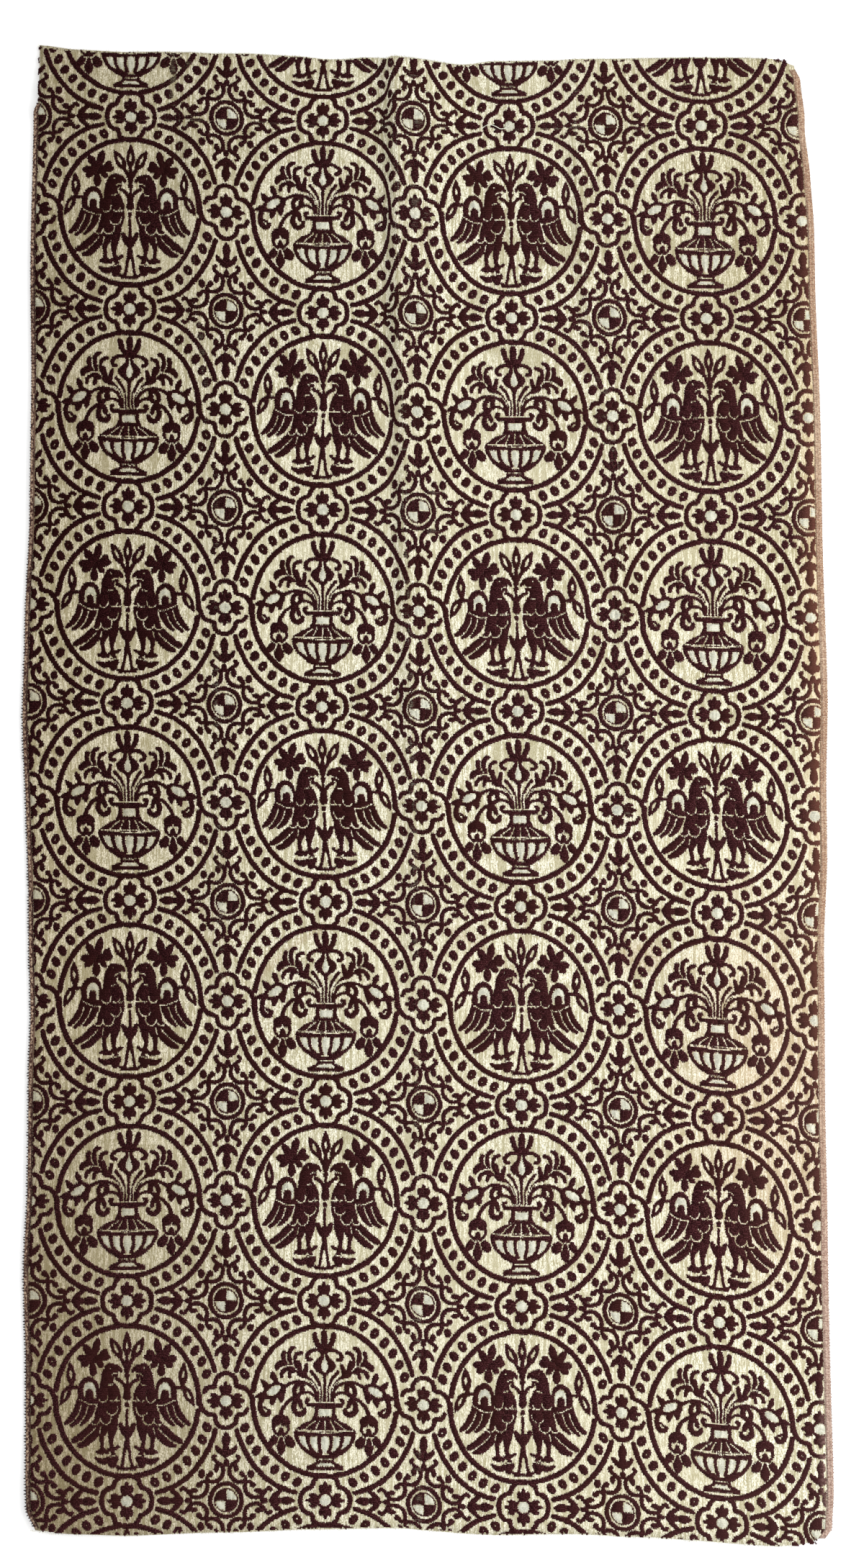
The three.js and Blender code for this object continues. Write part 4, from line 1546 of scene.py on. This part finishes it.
def ground_finish(colours):
    """Pale warp-faced ground with straw streaks, slubs, old stains and painted shade towards the left."""
    dye = Dye("ground_yarn", 0.88, 0.04)
    streaks = dye.noise(860, 150, 3.0, 0.62)
    long_streaks = dye.noise(400, 26, 2.0, 0.5)
    slubs = dye.noise(1000, 340, 2.0, 0.6)
    grain = dye.noise(1500, 850, 1.0)
    warp = dye.ribs(1000 / WARP)
    patches = dye.noise(9, 5, 2.0)
    pale = lighter(colours.ground, 1.36)
    olive = (0.33, 0.30, 0.165)
    tone = dye.blend(dye.fade(slubs, 0.46, 0.58, 0.0, 1.0), tuple(colours.ground), pale)
    tone = dye.blend(dye.fade(long_streaks, 0.48, 0.64, 0.0, 0.75), tone, tuple(colours.straw))
    tone = dye.blend(dye.fade(streaks, 0.50, 0.62, 0.0, 0.95), tone, tuple(colours.straw))
    tone = dye.blend(dye.fade(grain, 0.32, 0.56, 0.85, 0.0), tone, olive)
    tone = dye.blend(dye.fade(patches, 0.42, 0.7, 0.0, 0.30), tone, (0.58, 0.535, 0.37))
    tone = dye.blend(dye.fade(warp, 0.05, 0.9, 0.12, 0.0), tone, olive)
    # painted shade towards the left side, deepest at the top-left and bottom-left corners
    for down, share in ((0.02, 0.70), (1.08, 1.0)):
        tone = dye.blend(dye.spot(-0.06, down, 0.34, 0.52, 0.9, share), tone, (0.50, 0.44, 0.36), "MULTIPLY")
    tone = dye.blend(dye.spot(-0.03, 0.62, 0.24, 0.90, 0.9), tone, (0.70, 0.645, 0.58), "MULTIPLY")
    # darker at the top right
    tone = dye.blend(dye.spot(0.56, 0.12, 0.24, 0.50, 0.9), tone, (0.80, 0.77, 0.70), "MULTIPLY")
    # the right side is warmer half way down
    tone = dye.blend(dye.spot(0.545, 0.70, 0.16, 0.20, 0.8, 0.38), tone, (0.46, 0.29, 0.18))
    # warmer beside the right selvedge
    tone = dye.blend(dye.spot(0.548, 0.36, 0.030, 0.56, 1.0, 0.75), tone, (0.62, 0.43, 0.25))
    # a tan stain, a small one above it and a faint ring
    tone = dye.blend(dye.spot(0.415, 0.615, 0.026, 0.017, 0.7, 0.40), tone, (0.33, 0.23, 0.12))
    tone = dye.blend(dye.ring(*FAINT_RING, 0.30), tone, (0.30, 0.20, 0.11))
    height = dye.sum(dye.count("MULTIPLY", warp, 0.3), dye.count("MULTIPLY", grain, 0.8),
                     dye.count("MULTIPLY", slubs, 0.9))
    return dye.finish(tone, height, 0.00018, dye.fade(slubs, 0.3, 0.7, 0.94, 0.82))


def figure_finish(colours):
    """Dark maroon weft figure, lighter and browner where worn, with painted shade left and painted light
    lower right.
    """
    dye = Dye("figure_yarn", 0.9, 0.05)
    dye.shader.inputs["Specular IOR Level"].default_value = 0.03
    dye.shader.inputs["Sheen Tint"].default_value = (0.30, 0.10, 0.10, 1.0)
    base = tuple(colours.figure)
    purple = (0.0140, 0.0020, 0.0036)
    brown = (0.0230, 0.0060, 0.0044)
    twist = dye.noise(1150, 1300, 1.0)
    flecks = dye.noise(420, 560, 2.0, 0.6)
    worn = dye.noise(26, 18, 2.0)
    tone = dye.blend(dye.fade(flecks, 0.42, 0.66), base, purple)
    tone = dye.blend(dye.fade(twist, 0.46, 0.72, 0.0, 0.80), tone, (0.105, 0.034, 0.040))
    tone = dye.blend(dye.fade(worn, 0.46, 0.72, 0.0, 0.75), tone, brown)
    tone = dye.blend(dye.fade(dye.crown(), 0.34, 0.62, 0.85, 0.0), tone, (0.130, 0.040, 0.038))
    # painted shade towards the left side
    tone = dye.blend(dye.spot(-0.02, 0.30, 0.42, 0.95, 1.0, 0.90), tone, (0.38, 0.24, 0.23), "MULTIPLY")
    # painted light: lighter and browner towards the lower right
    tone = dye.blend(dye.spot(0.57, 0.68, 0.13, 0.24, 0.7, 0.55), tone, (0.080, 0.032, 0.025))
    tone = dye.blend(dye.spot(0.53, 1.00, 0.20, 0.16, 0.8, 0.50), tone, (0.058, 0.021, 0.020))
    tone = dye.blend(dye.spot(0.550, 0.40, 0.034, 0.60, 1.0, 0.85), tone, (0.19, 0.078, 0.050))
    corner = dye.spot(0.540, 0.940, 0.011, 0.090, 0.9)
    rubbed = dye.count("MULTIPLY", corner, dye.fade(flecks, 0.40, 0.58, 0.3, 1.0))
    tone = dye.blend(rubbed, tone, (0.34, 0.22, 0.19))
    height = dye.sum(dye.count("MULTIPLY", twist, 0.7), dye.count("MULTIPLY", flecks, 0.8))
    return dye.finish(tone, height, 0.00018, dye.fade(flecks, 0.3, 0.7, 0.95, 0.84))


def silver_finish(colours):
    dye = Dye("silver_yarn", 0.66, 0.04)
    ribs = dye.noise(700, 1500, 1.0)
    streaks = dye.noise(420, 150, 3.0, 0.6)
    base = tuple(colours.silver)
    tone = dye.blend(dye.fade(streaks, 0.36, 0.62, 0.0, 0.9), base, lighter(base, 0.62))
    tone = dye.blend(dye.fade(ribs, 0.4, 0.7, 0.0, 0.35), tone, lighter(base, 1.25))
    # painted shade towards the left side
    tone = dye.blend(dye.spot(-0.03, 0.55, 0.26, 0.95, 0.9), tone, (0.72, 0.68, 0.60), "MULTIPLY")
    return dye.finish(tone, dye.sum(ribs, streaks), 0.00018, dye.fade(streaks, 0.3, 0.7, 0.6, 0.8))


def left_selvedge_finish(colours):
    """Brown and tan cord with a darker tick where each weft turns."""
    dye = Dye("left_selvedge_yarn", 0.88, 0.04)
    ticks = dye.ribs(500, "Y")
    yarns = dye.noise(1200, 1000, 1.0)
    knots = dye.noise(640, 480, 2.0, 0.6)
    patches = dye.noise(60, 34, 2.0)
    dark = (0.026, 0.007, 0.006)
    tone = dye.blend(dye.fade(yarns, 0.40, 0.60), tuple(colours.left_selvedge), (0.25, 0.155, 0.105))
    tone = dye.blend(dye.fade(knots, 0.42, 0.49, 0.9, 0.0), tone, (0.44, 0.33, 0.23))
    tone = dye.blend(dye.fade(knots, 0.53, 0.61, 0.0, 0.9), tone, dark)
    tone = dye.blend(dye.fade(ticks, 0.15, 0.55, 0.45, 0.0), tone, dark)
    tone = dye.blend(dye.fade(patches, 0.52, 0.68, 0.0, 0.6), tone, dark)
    return dye.finish(tone, dye.sum(yarns, ticks), 0.0003, dye.fade(yarns, 0.3, 0.7, 0.94, 0.84))


def right_selvedge_finish(colours):
    """Tan ribbed selvedge with uneven brown ticks of weft across it."""
    dye = Dye("right_selvedge_yarn", 0.88, 0.04)
    ticks = dye.ribs(960, "Y")
    cords = dye.ribs(450)
    steps = dye.noise(1100, 1000, 1.0)
    uneven = dye.noise(330, 420, 2.0, 0.6)
    patches = dye.noise(30, 14, 2.0)
    brown = (0.17, 0.075, 0.050)
    tone_below = (0.47, 0.335, 0.285)
    tone = dye.blend(dye.fade(patches, 0.4, 0.65), tuple(colours.right_selvedge), (0.50, 0.355, 0.24))
    tone = dye.blend(dye.spot(0.54, 1.0, 0.10, 0.42, 0.8, 0.9), tone, tone_below)
    tone = dye.blend(dye.fade(steps, 0.50, 0.62, 0.0, 0.6), tone, (0.62, 0.50, 0.37))
    marks = dye.fade(ticks, 0.25, 0.70, 1.0, 0.0)
    marks = dye.count("MULTIPLY", marks, dye.fade(uneven, 0.42, 0.56, 0.0, 0.80))
    tone = dye.blend(marks, tone, brown)
    tone = dye.blend(dye.fade(cords, 0.0, 0.35, 0.16, 0.0), tone, (0.25, 0.14, 0.11))
    tone = dye.blend(dye.fade(steps, 0.30, 0.42, 0.5, 0.0), tone, brown)
    return dye.finish(tone, dye.sum(ticks, cords, steps), 0.0003, dye.fade(steps, 0.3, 0.7, 0.94, 0.84))


def selvedge_cord_finish(colours):
    """Dark warp cord between the brown edge and the pattern."""
    dye = Dye("selvedge_cord_yarn", 0.88, 0.04)
    yarns = dye.noise(900, 900, 1.0)
    patches = dye.noise(60, 22, 2.0)
    tone = dye.blend(dye.fade(yarns, 0.4, 0.65), lighter(colours.figure, 1.6), (0.085, 0.040, 0.028))
    tone = dye.blend(dye.fade(patches, 0.52, 0.68, 0.0, 0.8), tone, (0.16, 0.095, 0.062))
    return dye.finish(tone, yarns, 0.0003, dye.fade(yarns, 0.3, 0.7, 0.94, 0.84))


def loop_finish(name, colour):
    """Twisted yarn of the small loops and ends, in Object coordinates."""
    material = bpy.data.materials.new(name)
    material.use_nodes = True
    tree = material.node_tree
    shader = tree.nodes["Principled BSDF"]
    shader.inputs["Roughness"].default_value = 0.85
    shader.inputs["Sheen Weight"].default_value = 0.2
    place = tree.nodes.new("ShaderNodeTexCoord")
    noise = tree.nodes.new("ShaderNodeTexNoise")
    noise.inputs["Scale"].default_value = 900.0
    tree.links.new(place.outputs["Object"], noise.inputs["Vector"])
    ramp = tree.nodes.new("ShaderNodeValToRGB")
    ramp.color_ramp.elements[0].position = 0.35
    ramp.color_ramp.elements[0].color = (*lighter(colour, 0.6), 1.0)
    ramp.color_ramp.elements[1].position = 0.7
    ramp.color_ramp.elements[1].color = (*lighter(colour, 1.5), 1.0)
    tree.links.new(noise.outputs["Fac"], ramp.inputs["Fac"])
    tree.links.new(ramp.outputs["Color"], shader.inputs["Base Color"])
    bump = tree.nodes.new("ShaderNodeBump")
    bump.inputs["Distance"].default_value = 0.0002
    tree.links.new(noise.outputs["Fac"], bump.inputs["Height"])
    tree.links.new(bump.outputs["Normal"], shader.inputs["Normal"])
    return material


def plain_finish(name, colour, roughness=0.9):
    material = bpy.data.materials.new(name)
    material.use_nodes = True
    shader = material.node_tree.nodes["Principled BSDF"]
    shader.inputs["Base Color"].default_value = (*colour, 1.0)
    shader.inputs["Roughness"].default_value = roughness
    return material


# Workshop keeps what several operators share

class Workshop:
    cloth = None
    pattern = None
    pieces = {}
    finishes = {}

    @classmethod
    def finish(cls, name, maker, *settings):
        if name not in cls.finishes:
            cls.finishes[name] = maker(*settings)
        return cls.finishes[name]


class CLOTH_OT_lay_ground(bpy.types.Operator):
    """Lays the pale ground cloth with its creases"""

    bl_idname = "cloth.lay_ground"
    bl_label = "Lay ground cloth"

    def execute(self, context):
        Workshop.cloth = LaidCloth()
        finish = Workshop.finish("ground", ground_finish, context.scene.cloth_colours)
        ground = make_ground(Workshop.cloth, context.scene.cloth_sizes, finish)
        Workshop.pieces["ground"] = ground
        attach(ground, "root")
        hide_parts("panel")
        return {"FINISHED"}


class CLOTH_OT_raise_figure(bpy.types.Operator):
    """Raises the dark figure and lays the silver patches"""

    bl_idname = "cloth.raise_figure"
    bl_label = "Raise figure"

    def execute(self, context):
        sizes = context.scene.cloth_sizes
        colours = context.scene.cloth_colours
        Workshop.pattern = Pattern(sizes.seed)
        yarn = Workshop.finish("figure", figure_finish, colours)
        grey = Workshop.finish("silver", silver_finish, colours)
        bands = make_figure(Workshop.cloth, Workshop.pattern, sizes, yarn)
        silver = make_silver(Workshop.cloth, Workshop.pattern, sizes, grey)
        Workshop.pieces["figure"] = bands
        Workshop.pieces["silver"] = silver
        for piece in bands:
            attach(piece, "root")
        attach(silver, "root")
        return {"FINISHED"}


class CLOTH_OT_weave_selvedges(bpy.types.Operator):
    """Adds the selvedge strips and the weft loops beside them"""

    bl_idname = "cloth.weave_selvedges"
    bl_label = "Weave selvedges"

    def execute(self, context):
        colours = context.scene.cloth_colours
        cloth = Workshop.cloth
        brown = Workshop.finish("left", left_selvedge_finish, colours)
        tan = Workshop.finish("right", right_selvedge_finish, colours)
        cord = Workshop.finish("cord", selvedge_cord_finish, colours)
        loops = {
            "left": Workshop.finish("left_loops", loop_finish, "left_loop_yarn", tuple(colours.figure)),
            "right": Workshop.finish("right_loops", loop_finish, "right_loop_yarn", (0.14, 0.065, 0.050)),
        }
        made = [
            make_strip(cloth, "left_selvedge", "left", STRIP_STARTS, LEFT_CORD[0], LEFT_SELVEDGE_FROM, brown),
            make_strip(cloth, "left_selvedge_cord", "left", *LEFT_CORD, LEFT_SELVEDGE_FROM, cord, CORD_TOP),
            make_strip(cloth, "right_selvedge", "right", STRIP_STARTS, RIGHT_SELVEDGE - 0.2, 8.0, tan),
        ]
        made.extend(make_weft_loops(cloth, context.scene.cloth_sizes, loops))
        Workshop.pieces["selvedges"] = made
        for piece in made:
            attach(piece, "root")
        return {"FINISHED"}


class CLOTH_OT_fray_ends(bpy.types.Operator):
    """Adds short warp ends along both cut ends, and the loose thread"""

    bl_idname = "cloth.fray_ends"
    bl_label = "Fray cut ends"

    def execute(self, context):
        pale = tuple(context.scene.cloth_colours.ground)
        yarn = Workshop.finish("warp", loop_finish, "warp_end_yarn", pale)
        made = make_warp_ends(Workshop.cloth, context.scene.cloth_sizes, yarn)
        made.append(make_loose_thread(Workshop.cloth, yarn))
        Workshop.pieces["frays"] = made
        for piece in made:
            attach(piece, "root")
        return {"FINISHED"}


# The floor, in millimetres: half its side, and how far it lies under the cloth
FLOOR_REACH = 4000
FLOOR_DROP = 0.6


class CLOTH_OT_set_stage(bpy.types.Operator):
    """Sets the floor, the lights and the camera"""

    bl_idname = "cloth.set_stage"
    bl_label = "Set stage"

    def execute(self, context):
        look = context.scene.cloth_stage
        far, low = FLOOR_REACH, -FLOOR_DROP
        corners = [(-far, -far, low), (far, -far, low), (far, far, low), (-far, far, low)]
        paper = plain_finish("floor_paper", (0.96, 0.96, 0.96))
        floor = mesh_object("floor", corners, [(0, 1, 2, 3)], [paper])
        set_camera(context.scene, look)
        set_lights(context.scene, look)
        return {"FINISHED"}


# The place that the camera looks at, in millimetres, on the cloth before it was centred
LOOKED_AT = (5.5, -1.0)

# The large soft light, in metres: its sides, and where it hangs at the right of the cloth
WINDOW_SIDES = (0.5, 1.6)
WINDOW_PLACE = (0.86, -0.10, 0.62)
WINDOW_TILT = math.radians(52.0)


def set_camera(scene, look):
    data = bpy.data.cameras.new("camera")
    data.sensor_width = 36.0
    data.sensor_fit = "AUTO"
    data.lens = 18.0 / math.tan(look.view_angle / 2)
    camera = bpy.data.objects.new("camera", data)
    scene.collection.objects.link(camera)
    shift = Workshop.cloth.shift
    target = Vector(((LOOKED_AT[0] + shift[0]) * MM, (LOOKED_AT[1] + shift[1]) * MM, 0.0))
    back = look.camera_height * math.tan(look.camera_lean)
    camera.location = target + Vector((0.0, -back, look.camera_height))
    camera.rotation_euler = (look.camera_lean, 0.0, 0.0)
    scene.camera = camera


def set_lights(scene, look):
    world = bpy.data.worlds.new("room")
    world.use_nodes = True
    background = world.node_tree.nodes["Background"]
    background.inputs["Color"].default_value = (1.0, 1.0, 1.0, 1.0)
    background.inputs["Strength"].default_value = look.sky
    scene.world = world
    data = bpy.data.lights.new("window", "AREA")
    data.shape = "RECTANGLE"
    data.size, data.size_y = WINDOW_SIDES
    data.energy = look.key_power
    window = bpy.data.objects.new("window", data)
    scene.collection.objects.link(window)
    window.location = WINDOW_PLACE
    window.rotation_euler = (0.0, WINDOW_TILT, 0.0)
    scene.view_settings.view_transform = "Standard"
    scene.view_settings.look = "None"


def main():
    register()
    bpy.ops.cloth.lay_ground()
    bpy.ops.cloth.raise_figure()
    bpy.ops.cloth.weave_selvedges()
    bpy.ops.cloth.fray_ends()
    bpy.ops.cloth.set_stage()


class CLOTH_PT_panel(bpy.types.Panel):
    """Lists the pieces of the cloth in the order in which they are made"""

    bl_idname = "CLOTH_PT_panel"
    bl_label = "Figured cloth"
    bl_space_type = "VIEW_3D"
    bl_region_type = "UI"
    bl_category = "Cloth"

    def draw(self, context):
        layout = self.layout
        for group in (context.scene.cloth_sizes, context.scene.cloth_colours, context.scene.cloth_stage):
            box = layout.box()
            for name in group.__annotations__:
                box.prop(group, name)
        for kind in OPERATORS:
            layout.operator(kind.bl_idname)


GROUPS = (ClothSizes, ClothColours, StageLook)
OPERATORS = (
    CLOTH_OT_lay_ground, CLOTH_OT_raise_figure, CLOTH_OT_weave_selvedges, CLOTH_OT_fray_ends,
    CLOTH_OT_set_stage,
)
CLASSES = (*GROUPS, *OPERATORS, CLOTH_PT_panel)


def register():
    for kind in CLASSES:
        bpy.utils.register_class(kind)
    bpy.types.Scene.cloth_sizes = PointerProperty(type=ClothSizes)
    bpy.types.Scene.cloth_colours = PointerProperty(type=ClothColours)
    bpy.types.Scene.cloth_stage = PointerProperty(type=StageLook)


def unregister():
    del bpy.types.Scene.cloth_stage
    del bpy.types.Scene.cloth_colours
    del bpy.types.Scene.cloth_sizes
    for kind in reversed(CLASSES):
        bpy.utils.unregister_class(kind)


if __name__ == "__main__":
    main()
